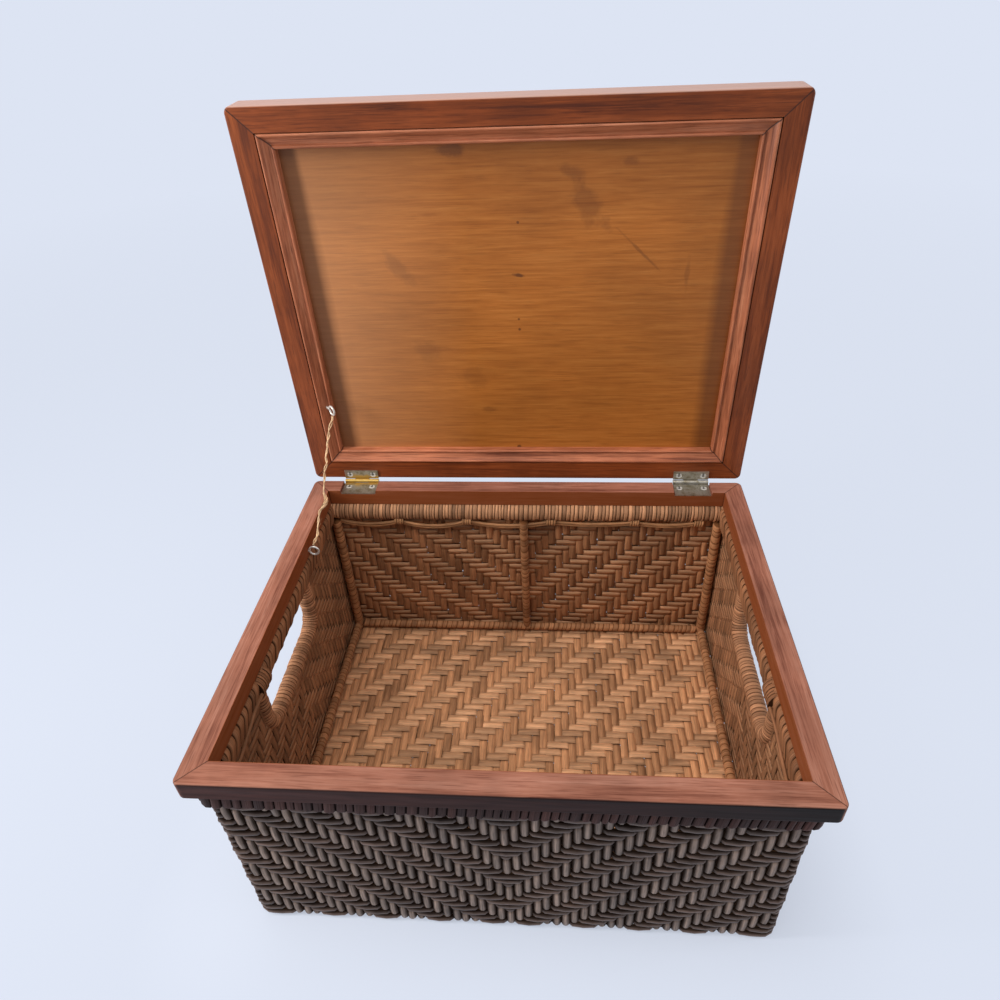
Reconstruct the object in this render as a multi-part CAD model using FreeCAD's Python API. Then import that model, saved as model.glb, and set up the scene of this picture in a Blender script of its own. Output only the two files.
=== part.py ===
# Rattan storage box: a woven basket with a mitred wooden rim and a framed lid on two butt hinges.
# Millimetres, +Z up, front towards -Y, origin in the middle of the underside.
# The lid is drawn shut and then turned about the hinge pins to its open rest position.
import FreeCAD, Part
import math
import os

Vector = FreeCAD.Vector

# Overall sizes
RIM_WIDTH = 400.0
RIM_DEPTH = 320.0
BASE_HEIGHT = 186.0
LID_THICKNESS = 22.0
OPEN_ANGLE = 88.0

# Wooden rim
RAIL_WIDTH = 17.0
RAIL_THICKNESS = 15.0
CORNER_ROUND = 5.0
EDGE_ROUND = 1.2

# Lid frame, moulding and panels
LID_RAIL_WIDTH = 17.5
LID_GAP = 0.3
BEAD_WIDTH = 11.5
BEAD_DEPTH = 10.0
BEAD_NOSE = 1.2
BEAD_SLOPE_DROP = 3.4
BEAD_GAP = 0.5
PANEL_THICKNESS = 4.0
PANEL_TONGUE = 6.0
LID_WEAVE_THICKNESS = 6.0

# Woven basket
WEAVE_SETBACK = 7.5
WEAVE_THICKNESS = 7.0
WEAVE_CORNER_RADIUS = 8.5
FLOOR_THICKNESS = 7.0
FOOT_ROUND = 3.0
BORDER_HEIGHT = 18.0
BORDER_OUTER_PROUD = 4.5
BORDER_INNER_PROUD = 8.5
BORDER_SIDE_PROUD = 5.5

# Twill relief on the outside of the walls and on the lid's mat
TWILL_ACROSS = 40.2
TWILL_UP = 37.2
TWILL_START = 31.4
TWILL_SIDE_START = 6.6
CHANNEL_WIDTH = 20.0
CHANNEL_DEPTH = 2.2

# Wrapped rods inside the basket
POST_DIAMETER = 9.0
CENTRE_POST_DIAMETER = 8.0
FLOOR_ROD_DIAMETER = 8.0

# Hand-holds in the side walls
HOLD_LENGTH = 103.0
HOLD_DROP = 42.0
HOLD_BEND = 12.0
HOLD_ROLL_DIAMETER = 13.0
HOLD_FORWARD = 4.5

# Butt hinges
HINGE_INSET = 45.0
HINGE_LENGTH = 32.0
LEAF_THICKNESS = 1.1
LID_LEAF_REACH = 11.0
END_KNUCKLE = 9.0
MORTISE_DEPTH = 3.5
PIN_DIAMETER = 1.6
SCREW_SPACING = 22.0
SCREW_HEAD_DIAMETER = 5.6
SCREW_HEAD_HEIGHT = 1.6
SCREW_SHANK_DIAMETER = 2.4
SCREW_LENGTH = 9.0
SCREW_SLOT_WIDTH = 0.8
SCREW_SLOT_DEPTH = 0.7
BASE_SCREW_REACH = 8.7
LID_SCREW_REACH = 6.6

# Screw eyes and the stay cord between them
EYE_RING_RADIUS = 4.1
EYE_WIRE_DIAMETER = 1.8
EYE_STEM_LENGTH = 8.0
BASE_EYE_DISTANCE_FROM_BACK = 90.5
BASE_EYE_BELOW_TOP = 10.5
LID_EYE_DISTANCE_FROM_BACK = 76.5
LID_EYE_IN_FROM_BEAD = 2.5
LID_EYE_STEM_TILT = 45.0
CORD_DIAMETER = 3.0
CORD_KNOT_OFFSET = Vector(3.0, -2.5, -3.0)

# Clearances
LAYER_GAP = 0.2
ROD_GAP = 0.3
PANEL_GAP = 0.15
KNUCKLE_GAP = 0.3
MORTISE_GAP = 1.0
SCREW_CLEARANCE = 0.05
PIN_CLEARANCE = 0.05
CORD_GAP = 0.6

SIDES = ("front", "back", "left", "right")

# Levels and half sizes that follow from the sizes above
RIM_BOTTOM = BASE_HEIGHT - RAIL_THICKNESS
BORDER_BOTTOM = RIM_BOTTOM - BORDER_HEIGHT
LID_UNDERSIDE = BASE_HEIGHT + LID_GAP
PANEL_LEVEL = LID_UNDERSIDE + BEAD_DEPTH
WEAVE_HALF_X = RIM_WIDTH / 2 - WEAVE_SETBACK
WEAVE_HALF_Y = RIM_DEPTH / 2 - WEAVE_SETBACK
INNER_HALF_X = WEAVE_HALF_X - WEAVE_THICKNESS
INNER_HALF_Y = WEAVE_HALF_Y - WEAVE_THICKNESS
INNER_RADIUS = WEAVE_CORNER_RADIUS - WEAVE_THICKNESS
POST_SEAT = POST_DIAMETER / 2 + ROD_GAP
POST_INSET = max(POST_SEAT, INNER_RADIUS - (INNER_RADIUS - POST_SEAT) / math.sqrt(2))
KNUCKLE_RADIUS = (MORTISE_DEPTH + LID_GAP) / 2
PIN_Y = RIM_DEPTH / 2 + KNUCKLE_RADIUS + KNUCKLE_GAP
PIN_Z = BASE_HEIGHT - MORTISE_DEPTH + KNUCKLE_RADIUS
MITRE_REACH = min(RIM_WIDTH, RIM_DEPTH) / 4


def block(x0, x1, y0, y1, z0, z1):
    return Part.makeBox(x1 - x0, y1 - y0, z1 - z0, Vector(x0, y0, z0))


def prism(points, direction):
    return Part.Face(Part.makePolygon(points + points[:1])).extrude(direction)


def rounded_block(half_x, half_y, radius, z0, z1):
    """A block with its four upright edges rounded."""
    plain = block(-half_x, half_x, -half_y, half_y, z0, z1)
    upright = [edge for edge in plain.Edges if edge.BoundBox.ZLength > (z1 - z0) / 2]
    return plain.makeFillet(radius, upright)


def level_edges(shape, z):
    """The edges of a shape that lie flat at one height."""
    boxes = [(edge, edge.BoundBox) for edge in shape.Edges]
    return [edge for edge, box in boxes if abs(box.ZMin - z) < 1e-6 and box.ZLength < 1e-6]


def side_wedge(side, z0, z1):
    """The space of one side of the box, cut off at 45 degrees through the rim's corners."""
    inward, along, distance = side_axes(side)
    half_length = RIM_WIDTH / 2 if side in ("front", "back") else RIM_DEPTH / 2

    def at(reach, sign):
        place = inward * (reach - distance) + along * (sign * (half_length - reach))
        return Vector(place.x, place.y, z0)

    points = [at(-RAIL_WIDTH, -1), at(-RAIL_WIDTH, 1), at(MITRE_REACH, 1), at(MITRE_REACH, -1)]
    return prism(points, Vector(0, 0, z1 - z0))


def side_axes(side):
    """Inward direction, direction along the side, and distance of the rim's outer face from the middle."""
    return {"front": (Vector(0, 1, 0), Vector(1, 0, 0), RIM_DEPTH / 2),
            "back": (Vector(0, -1, 0), Vector(1, 0, 0), RIM_DEPTH / 2),
            "left": (Vector(1, 0, 0), Vector(0, 1, 0), RIM_WIDTH / 2),
            "right": (Vector(-1, 0, 0), Vector(0, 1, 0), RIM_WIDTH / 2)}[side]


def by_side(pattern, ring, z0, z1):
    """A ring round the box, parted at its mitred corners into four named pieces."""
    return {pattern.format(side): ring.common(side_wedge(side, z0, z1)) for side in SIDES}


def mitred_frame(rail_width, z0, z1):
    """A picture frame with eased edges and rounded outer corners."""
    half_x = RIM_WIDTH / 2
    half_y = RIM_DEPTH / 2
    solid = rounded_block(half_x, half_y, CORNER_ROUND, z0, z1)
    solid = solid.makeFillet(EDGE_ROUND, level_edges(solid, z0) + level_edges(solid, z1))
    hole = block(-half_x + rail_width, half_x - rail_width, -half_y + rail_width, half_y - rail_width, z0, z1)
    return solid.cut(hole)


def screw(tip_direction, clearance):
    """A countersunk slotted screw with the middle of its head at the origin."""
    head = SCREW_HEAD_DIAMETER / 2 + clearance
    shank = SCREW_SHANK_DIAMETER / 2 + clearance
    origin = Vector(0, 0, 0)
    solid = Part.makeCone(head, shank, SCREW_HEAD_HEIGHT, origin, tip_direction)
    solid = solid.fuse(Part.makeCylinder(shank, SCREW_LENGTH + clearance, origin, tip_direction))
    if clearance == 0:
        slot_top = Vector(-SCREW_HEAD_DIAMETER, -SCREW_SLOT_WIDTH / 2, -SCREW_SLOT_DEPTH)
        slot = Part.makeBox(2 * SCREW_HEAD_DIAMETER, SCREW_SLOT_WIDTH, 2 * SCREW_SLOT_DEPTH, slot_top)
        solid = solid.cut(slot)
    return solid.removeSplitter()


def hinge_places():
    """How far each hinge's middle stands to the side of the box's middle."""
    reach = RIM_WIDTH / 2 - HINGE_INSET
    return {"left": -reach, "right": reach}


def screw_places(reach, z):
    """Where the screws of one kind of leaf stand, on both hinges."""
    offsets = (-SCREW_SPACING / 2, SCREW_SPACING / 2)
    return [Vector(x + offset, PIN_Y - reach, z) for x in hinge_places().values() for offset in offsets]


def base_screw_places():
    return screw_places(BASE_SCREW_REACH, PIN_Z - KNUCKLE_RADIUS + LEAF_THICKNESS)


def lid_screw_places():
    return screw_places(LID_SCREW_REACH, PIN_Z + KNUCKLE_RADIUS - LEAF_THICKNESS)


def drilled(solid, places, tip_direction):
    """A solid with the screw holes of one leaf sunk into it."""
    tool = screw(tip_direction, SCREW_CLEARANCE)
    for place in places:
        solid = solid.cut(tool.translated(place))
    return solid


def screws(places, tip_direction):
    return Part.makeCompound([screw(tip_direction, 0).translated(place) for place in places])


def on_pin_axis(radius, start, end):
    """A round bar along the hinge axis."""
    return Part.makeCylinder(radius, end - start, Vector(start, PIN_Y, PIN_Z), Vector(1, 0, 0))


def hinge_leaf(x, sign, reach, knuckles, places):
    """One leaf with its share of the knuckles: sign is -1 for the base leaf, 1 for the lid leaf."""
    half = HINGE_LENGTH / 2
    outer = PIN_Z + sign * KNUCKLE_RADIUS
    low, high = sorted((outer, outer - sign * LEAF_THICKNESS))
    back = PIN_Y - KNUCKLE_RADIUS - KNUCKLE_GAP
    leaf = block(x - half, x + half, PIN_Y - reach, back, low, high)
    for start, end in knuckles:
        leaf = leaf.fuse(block(x + start, x + end, back, PIN_Y, low, high))
        leaf = leaf.fuse(on_pin_axis(KNUCKLE_RADIUS, x + start, x + end))
    leaf = leaf.cut(on_pin_axis(PIN_DIAMETER / 2 + PIN_CLEARANCE, x - half, x + half))
    return drilled(leaf, places, Vector(0, 0, sign)).removeSplitter()


def hinge_pin(x):
    return on_pin_axis(PIN_DIAMETER / 2, x - HINGE_LENGTH / 2, x + HINGE_LENGTH / 2)


def hinges():
    """Leaves, pins and screws of both hinges, with the lid's share drawn shut."""
    half = HINGE_LENGTH / 2
    inner = half - END_KNUCKLE
    end_knuckles = [(-half, -inner), (inner, half)]
    middle_knuckle = [(-inner + KNUCKLE_GAP, inner - KNUCKLE_GAP)]
    base_reach = KNUCKLE_RADIUS + KNUCKLE_GAP + RAIL_WIDTH
    base = {}
    lid = {}
    for name, x in hinge_places().items():
        base[f"hinge_{name}_base_leaf"] = hinge_leaf(x, -1, base_reach, end_knuckles, base_screw_places())
        base[f"hinge_{name}_pin"] = hinge_pin(x)
        lid[f"hinge_{name}_lid_leaf"] = hinge_leaf(x, 1, LID_LEAF_REACH, middle_knuckle, lid_screw_places())
    base["hinge_base_screws"] = screws(base_screw_places(), Vector(0, 0, -1))
    lid["hinge_lid_screws"] = screws(lid_screw_places(), Vector(0, 0, 1))
    return base, lid


def base_eye_place():
    """Middle of the ring of the screw eye in the left rail's inner face."""
    x = -RIM_WIDTH / 2 + RAIL_WIDTH + EYE_RING_RADIUS + EYE_WIRE_DIAMETER / 2 + LAYER_GAP
    return Vector(x, RIM_DEPTH / 2 - BASE_EYE_DISTANCE_FROM_BACK, BASE_HEIGHT - BASE_EYE_BELOW_TOP)


def lid_eye_axis():
    """Direction of the lid eye's stem, from its ring down into the moulding, with the lid shut."""
    tilt = math.radians(LID_EYE_STEM_TILT)
    return Vector(-math.sin(tilt), 0, math.cos(tilt))


def lid_eye_place():
    """Middle of the ring of the screw eye in the lid's left moulding, with the lid shut."""
    slope_x = -RIM_WIDTH / 2 + LID_RAIL_WIDTH + BEAD_WIDTH - LID_EYE_IN_FROM_BEAD
    slope = Vector(slope_x, RIM_DEPTH / 2 - LID_EYE_DISTANCE_FROM_BACK, LID_UNDERSIDE + BEAD_SLOPE_DROP / 2)
    return slope - lid_eye_axis() * (EYE_RING_RADIUS + EYE_WIRE_DIAMETER)


def eye_stem(place, axis, clearance):
    start = place + axis * EYE_RING_RADIUS
    length = EYE_STEM_LENGTH + clearance
    return Part.makeCylinder(EYE_WIRE_DIAMETER / 2 + clearance, length, start, axis)


def screw_eye(place, axis, ring_normal):
    """A wire ring with a stem that is screwed into the wood."""
    ring = Part.makeTorus(EYE_RING_RADIUS, EYE_WIRE_DIAMETER / 2, place, ring_normal)
    return ring.fuse(eye_stem(place, axis, 0)).removeSplitter()


def base_eye():
    return screw_eye(base_eye_place(), Vector(-1, 0, 0), Vector(0, 1, 0))


def lid_eye():
    axis = lid_eye_axis()
    return screw_eye(lid_eye_place(), axis, axis.cross(Vector(0, 1, 0)))


def rim_rails():
    """Four mitred rails, with hinge mortises in the back one and an eye hole in the left one."""
    frame = mitred_frame(RAIL_WIDTH, RIM_BOTTOM, BASE_HEIGHT)
    half = HINGE_LENGTH / 2 + MORTISE_GAP
    back = RIM_DEPTH / 2
    mortise_floor = BASE_HEIGHT - MORTISE_DEPTH
    for x in hinge_places().values():
        frame = frame.cut(block(x - half, x + half, back - RAIL_WIDTH, back, mortise_floor, BASE_HEIGHT))
    frame = drilled(frame, base_screw_places(), Vector(0, 0, -1))
    frame = frame.cut(eye_stem(base_eye_place(), Vector(-1, 0, 0), SCREW_CLEARANCE))
    return by_side("rim_{}_rail", frame, RIM_BOTTOM, BASE_HEIGHT)


def lid_rails():
    """Four mitred rails, grooved for the panel and drilled for the hinge screws."""
    top = LID_UNDERSIDE + LID_THICKNESS
    frame = mitred_frame(LID_RAIL_WIDTH, LID_UNDERSIDE, top)
    half_x = RIM_WIDTH / 2 - LID_RAIL_WIDTH + PANEL_TONGUE + PANEL_GAP
    half_y = RIM_DEPTH / 2 - LID_RAIL_WIDTH + PANEL_TONGUE + PANEL_GAP
    groove_top = PANEL_LEVEL + PANEL_THICKNESS + PANEL_GAP
    frame = frame.cut(block(-half_x, half_x, -half_y, half_y, PANEL_LEVEL, groove_top))
    frame = drilled(frame, lid_screw_places(), Vector(0, 0, 1))
    frame = frame.cut(eye_stem(lid_eye_place(), lid_eye_axis(), SCREW_CLEARANCE))
    return by_side("lid_{}_rail", frame, LID_UNDERSIDE, top)


def bead_profile(at):
    """Section of the moulding: a round nose at the rail, a hollow slope and a second nose at the panel."""
    nose = BEAD_NOSE
    low = BEAD_SLOPE_DROP
    inner = BEAD_WIDTH
    outer_nose = Part.Arc(at(BEAD_GAP, nose), at(BEAD_GAP + nose, 0), at(BEAD_GAP + 2 * nose, nose))
    hollow_middle = at((BEAD_GAP + inner) / 2, (nose + low) / 2 + nose)
    hollow = Part.Arc(at(BEAD_GAP + 2 * nose, nose), hollow_middle, at(inner - 2 * nose, low + nose))
    inner_nose = Part.Arc(at(inner - 2 * nose, low + nose), at(inner - nose, low), at(inner, low + nose))
    corners = [at(inner, low + nose), at(inner, BEAD_DEPTH), at(BEAD_GAP, BEAD_DEPTH), at(BEAD_GAP, nose)]
    sides = [Part.LineSegment(a, b) for a, b in zip(corners, corners[1:])]
    edges = [curve.toShape() for curve in [outer_nose, hollow, inner_nose] + sides]
    return Part.Face(Part.Wire(edges))


def lid_bead(side):
    """Moulding along one rail of the lid, with mitred ends."""
    inward, along, distance = side_axes(side)
    half_length = max(RIM_WIDTH, RIM_DEPTH) / 2

    def at(across, up):
        place = inward * (across + LID_RAIL_WIDTH - distance) - along * half_length
        return Vector(place.x, place.y, LID_UNDERSIDE + up)

    bead = bead_profile(at).extrude(along * (2 * half_length))
    bead = bead.common(side_wedge(side, LID_UNDERSIDE, PANEL_LEVEL))
    if side == "left":
        bead = bead.cut(eye_stem(lid_eye_place(), lid_eye_axis(), SCREW_CLEARANCE))
    return bead


def lid_panel():
    half_x = RIM_WIDTH / 2 - LID_RAIL_WIDTH + PANEL_TONGUE
    half_y = RIM_DEPTH / 2 - LID_RAIL_WIDTH + PANEL_TONGUE
    return block(-half_x, half_x, -half_y, half_y, PANEL_LEVEL, PANEL_LEVEL + PANEL_THICKNESS)


def twill_channel(place, along, outward):
    """A shallow round channel in a woven face, between two ridges of the twill."""
    radius = (CHANNEL_WIDTH ** 2 / 4 + CHANNEL_DEPTH ** 2) / (2 * CHANNEL_DEPTH)
    reach = along * ((RIM_WIDTH + RIM_DEPTH) / along.Length)
    start = place + outward * (radius - CHANNEL_DEPTH) - reach
    return Part.makeCylinder(radius, 2 * reach.Length, start, along)


def lid_weave():
    """Woven mat on the outside of the lid, lying on the panel between the rails."""
    half_x = RIM_WIDTH / 2 - LID_RAIL_WIDTH - PANEL_GAP
    half_y = RIM_DEPTH / 2 - LID_RAIL_WIDTH - PANEL_GAP
    bottom = PANEL_LEVEL + PANEL_THICKNESS
    top = bottom + LID_WEAVE_THICKNESS
    mat = block(-half_x, half_x, -half_y, half_y, bottom, top)
    steps = math.ceil((half_x + half_y) / TWILL_ACROSS)
    places = [Vector(TWILL_ACROSS * (step + 1 / 3), 0, top) for step in range(-steps, steps)]
    return mat.cut([twill_channel(place, Vector(1, 1, 0), Vector(0, 0, 1)) for place in places])


def wall_channels(side):
    """The twill's channels on one wall: they rise from the middle on the front and back, and fall on the sides."""
    inward, along, distance = side_axes(side)
    is_long = side in ("front", "back")
    half_length = RIM_WIDTH / 2 if is_long else RIM_DEPTH / 2
    slope = TWILL_UP / TWILL_ACROSS if is_long else -TWILL_UP / TWILL_ACROSS
    first = TWILL_START if is_long else TWILL_SIDE_START
    outside = math.ceil(half_length / TWILL_ACROSS)
    inside = math.ceil(BORDER_BOTTOM / TWILL_UP)
    face = inward * (WEAVE_SETBACK - distance)
    levels = [first + TWILL_UP * step for step in range(-outside, inside + outside)]
    channels = []
    for sign in (-1, 1):
        outer_edge = inward * -distance + Vector(0, 0, FLOOR_THICKNESS)
        inner_edge = face + inward * WEAVE_THICKNESS + Vector(0, 0, FLOOR_THICKNESS)
        reach = along * (sign * half_length)
        corners = [outer_edge, outer_edge + reach, inner_edge + reach, inner_edge]
        half_wall = prism(corners, Vector(0, 0, BORDER_BOTTOM - FLOOR_THICKNESS))
        direction = along * sign + Vector(0, 0, slope)
        for level in levels:
            channel = twill_channel(face + Vector(0, 0, level), direction, inward * -1).common(half_wall)
            channels += channel.Solids
    return channels


def hold_limits(grow):
    """Ends along Y and lowest level of the hand-hold's outline, grown outwards."""
    half = HOLD_LENGTH / 2 + grow
    return -HOLD_FORWARD - half, -HOLD_FORWARD + half, BORDER_BOTTOM - HOLD_DROP - grow


def hold_cut():
    """The space that both hand-holds and their rolled edges take out of the side walls."""
    grow = HOLD_ROLL_DIAMETER + LAYER_GAP
    front, back, low = hold_limits(grow)
    space = block(-RIM_WIDTH / 2, RIM_WIDTH / 2, front, back, low, BORDER_BOTTOM)
    lower = [edge for edge in level_edges(space, low) if edge.BoundBox.XLength > RIM_WIDTH / 2]
    return space.makeFillet(HOLD_BEND + grow, lower)


def hold_roll(sign):
    """Wrapped roll round the lower edge of one hand-hold, with both ends turned up to the border."""
    x = sign * (WEAVE_HALF_X + INNER_HALF_X) / 2
    tube = HOLD_ROLL_DIAMETER / 2
    front, back, low = hold_limits(tube)
    bend = HOLD_BEND + tube
    nearest = bend - bend * math.sin(math.pi / 4)

    def at(y, z):
        return Vector(x, y, z)

    path = [Part.LineSegment(at(front, BORDER_BOTTOM), at(front, low + bend)),
            Part.Arc(at(front, low + bend), at(front + nearest, low + nearest), at(front + bend, low)),
            Part.LineSegment(at(front + bend, low), at(back - bend, low)),
            Part.Arc(at(back - bend, low), at(back - nearest, low + nearest), at(back, low + bend)),
            Part.LineSegment(at(back, low + bend), at(back, BORDER_BOTTOM))]
    section = Part.Wire([Part.makeCircle(tube, at(front, BORDER_BOTTOM))])
    return Part.Wire([curve.toShape() for curve in path]).makePipeShell([section], True, False)


def walls():
    """Four woven walls, mitred in their rounded corners."""
    low = FLOOR_THICKNESS
    outer = rounded_block(WEAVE_HALF_X, WEAVE_HALF_Y, WEAVE_CORNER_RADIUS, low, RIM_BOTTOM)
    inner = rounded_block(INNER_HALF_X, INNER_HALF_Y, INNER_RADIUS, low, RIM_BOTTOM)
    ring = outer.cut(inner)
    for side in SIDES:
        ring = ring.cut(wall_channels(side))
    return by_side("weave_{}", ring.cut(hold_cut()), low, RIM_BOTTOM)


def weave_floor():
    """Woven bottom under the walls, with its lower edge rounded."""
    plate = rounded_block(WEAVE_HALF_X, WEAVE_HALF_Y, WEAVE_CORNER_RADIUS, 0, FLOOR_THICKNESS)
    return plate.makeFillet(FOOT_ROUND, level_edges(plate, 0))


def outer_borders():
    """Wrapped band round the outside of the walls, just under the rim."""
    low = BORDER_BOTTOM
    high = RIM_BOTTOM
    proud = BORDER_OUTER_PROUD
    gap = LAYER_GAP
    radius = WEAVE_CORNER_RADIUS
    outer = rounded_block(WEAVE_HALF_X + proud, WEAVE_HALF_Y + proud, radius + proud, low, high)
    outer = outer.makeFillet(proud - 2 * gap, level_edges(outer, low) + level_edges(outer, high))
    inner = rounded_block(WEAVE_HALF_X + gap, WEAVE_HALF_Y + gap, radius + gap, low, high)
    return by_side("border_outer_{}", outer.cut(inner), low, high)


def inner_border(side):
    """Wrapped rod along the inside of one wall; the side rods butt against the front and back ones."""
    inward, along, _ = side_axes(side)
    if side in ("front", "back"):
        half_length = INNER_HALF_X - LAYER_GAP
        face = INNER_HALF_Y - LAYER_GAP
        soft = BORDER_INNER_PROUD - LAYER_GAP
    else:
        half_length = INNER_HALF_Y - BORDER_INNER_PROUD - LAYER_GAP
        face = INNER_HALF_X - LAYER_GAP
        soft = BORDER_SIDE_PROUD - LAYER_GAP

    def at(across, up):
        place = inward * (across - face) - along * half_length
        return Vector(place.x, place.y, up)

    low = BORDER_BOTTOM
    high = RIM_BOTTOM
    lower_middle = at(soft * math.sin(math.pi / 4), low + soft - soft * math.cos(math.pi / 4))
    upper_middle = at(soft * math.sin(math.pi / 4), high - soft + soft * math.cos(math.pi / 4))
    curves = [Part.Arc(at(0, low), lower_middle, at(soft, low + soft)),
              Part.LineSegment(at(soft, low + soft), at(soft, high - soft)),
              Part.Arc(at(soft, high - soft), upper_middle, at(0, high)),
              Part.LineSegment(at(0, high), at(0, low))]
    rod = Part.Face(Part.Wire([curve.toShape() for curve in curves])).extrude(along * (2 * half_length))
    radius = INNER_RADIUS - LAYER_GAP
    return rod.common(rounded_block(INNER_HALF_X - LAYER_GAP, INNER_HALF_Y - LAYER_GAP, radius, low, high))


def corner_post(sign_x, sign_y):
    """Upright rod in one rounded corner, from the floor to the border."""
    x = sign_x * (INNER_HALF_X - POST_INSET)
    place = Vector(x, sign_y * (INNER_HALF_Y - POST_INSET), FLOOR_THICKNESS)
    return Part.makeCylinder(POST_DIAMETER / 2, BORDER_BOTTOM - FLOOR_THICKNESS, place)


def centre_post(sign_y):
    """Upright rod in the middle of the front or back wall, standing on the floor rod."""
    bottom = FLOOR_THICKNESS + FLOOR_ROD_DIAMETER + 2 * ROD_GAP
    place = Vector(0, sign_y * (INNER_HALF_Y - ROD_GAP - CENTRE_POST_DIAMETER / 2), bottom)
    return Part.makeCylinder(CENTRE_POST_DIAMETER / 2, BORDER_BOTTOM - bottom, place)


def floor_rod(side):
    """Rod along the foot of one wall, between the corner posts."""
    inward, along, _ = side_axes(side)
    face = INNER_HALF_Y if side in ("front", "back") else INNER_HALF_X
    length = INNER_HALF_X if side in ("front", "back") else INNER_HALF_Y
    half_length = length - POST_INSET - POST_SEAT
    radius = FLOOR_ROD_DIAMETER / 2
    place = inward * (radius + ROD_GAP - face) - along * half_length
    place.z = FLOOR_THICKNESS + ROD_GAP + radius
    return Part.makeCylinder(radius, 2 * half_length, place, along)


def opened(shape):
    """A piece of the shut lid turned about the hinge pins to the open position."""
    return shape.rotated(Vector(0, PIN_Y, PIN_Z), Vector(1, 0, 0), -OPEN_ANGLE)


def opened_point(point):
    return opened(Part.Vertex(point)).Point


def cord_route():
    """The stay cord's points: upper eye, knot, lower eye."""
    lid_ring = opened_point(lid_eye_place())
    base_ring = base_eye_place()
    down = (base_ring - lid_ring).normalize()
    upper_wire = opened_point(lid_eye_place() + Vector(0, EYE_RING_RADIUS, 0))
    lower_wire = base_ring + Vector(0, 0, EYE_RING_RADIUS)
    stand_off = EYE_WIRE_DIAMETER / 2 + CORD_GAP
    start = upper_wire + down * stand_off
    end = lower_wire - down * stand_off
    knot = (start + end) * 0.5 + CORD_KNOT_OFFSET
    return [start, knot, end]


def cord(points):
    """Round cord: straight runs joined by arcs as large as the runs allow."""
    edges = []
    here = points[0]
    length = 0.0
    for before, corner, after in zip(points, points[1:], points[2:]):
        inward = (before - corner).normalize()
        outward = (after - corner).normalize()
        turn = math.pi - inward.getAngle(outward)
        cut = 0.45 * min((before - corner).Length, (after - corner).Length)
        radius = cut / math.tan(turn / 2)
        bisector = (inward + outward).normalize()
        middle = corner + bisector * (radius / math.cos(turn / 2) - radius)
        start = corner + inward * cut
        finish = corner + outward * cut
        edges.append(Part.LineSegment(here, start).toShape())
        edges.append(Part.Arc(start, middle, finish).toShape())
        length += (start - here).Length + radius * turn
        here = finish
        print(f"cord bend: turn {math.degrees(turn):.1f} degrees, radius {radius:.1f} mm")
    edges.append(Part.LineSegment(here, points[-1]).toShape())
    length += (points[-1] - here).Length
    first = (points[1] - points[0]).normalize()
    section = Part.Wire([Part.makeCircle(CORD_DIAMETER / 2, points[0], first)])
    tube = Part.Wire(edges).makePipeShell([section], True, False)
    expected = math.pi * CORD_DIAMETER ** 2 / 4 * length
    print(f"cord: length {length:.1f} mm, volume {tube.Volume:.1f} against {expected:.1f} mm3")
    return tube


def basket_pieces():
    """The woven basket and everything fixed to it."""
    pieces = walls()
    pieces["weave_floor"] = weave_floor()
    pieces.update(outer_borders())
    for side in SIDES:
        pieces[f"border_inner_{side}"] = inner_border(side)
        pieces[f"floor_rod_{side}"] = floor_rod(side)
    for depth_name, sign_y in (("front", -1), ("back", 1)):
        pieces[f"centre_post_{depth_name}"] = centre_post(sign_y)
        for width_name, sign_x in (("left", -1), ("right", 1)):
            pieces[f"corner_post_{depth_name}_{width_name}"] = corner_post(sign_x, sign_y)
    for width_name, sign_x in (("left", -1), ("right", 1)):
        pieces[f"hold_roll_{width_name}"] = hold_roll(sign_x)
    pieces.update(rim_rails())
    pieces["screw_eye_base"] = base_eye()
    pieces["stay_cord"] = cord(cord_route())
    return pieces


def lid_pieces():
    """The lid's own pieces, drawn shut."""
    pieces = lid_rails()
    for side in SIDES:
        pieces[f"lid_{side}_bead"] = lid_bead(side)
    pieces["lid_panel"] = lid_panel()
    pieces["lid_weave"] = lid_weave()
    pieces["screw_eye_lid"] = lid_eye()
    return pieces


def main():
    os.makedirs("parts", exist_ok=True)
    base_hinges, lid_hinges = hinges()
    pieces = {**basket_pieces(), **base_hinges}
    for node, shape in {**lid_pieces(), **lid_hinges}.items():
        pieces[node] = opened(shape)
    for node, shape in pieces.items():
        shape.exportStep(f"parts/{node}.step")
    print(f"{len(pieces)} sub-parts")


main()
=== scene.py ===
# Rattan storage box with its lid held open: woven strands, wrapped borders, stained wood and small hinges.
# Shapes are worked out in millimetres in the frame of the solids and scaled to metres when a mesh is made.
import math
import random
from functools import partialmethod
import bpy
import numpy as np
from mathutils import Matrix, Vector


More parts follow.
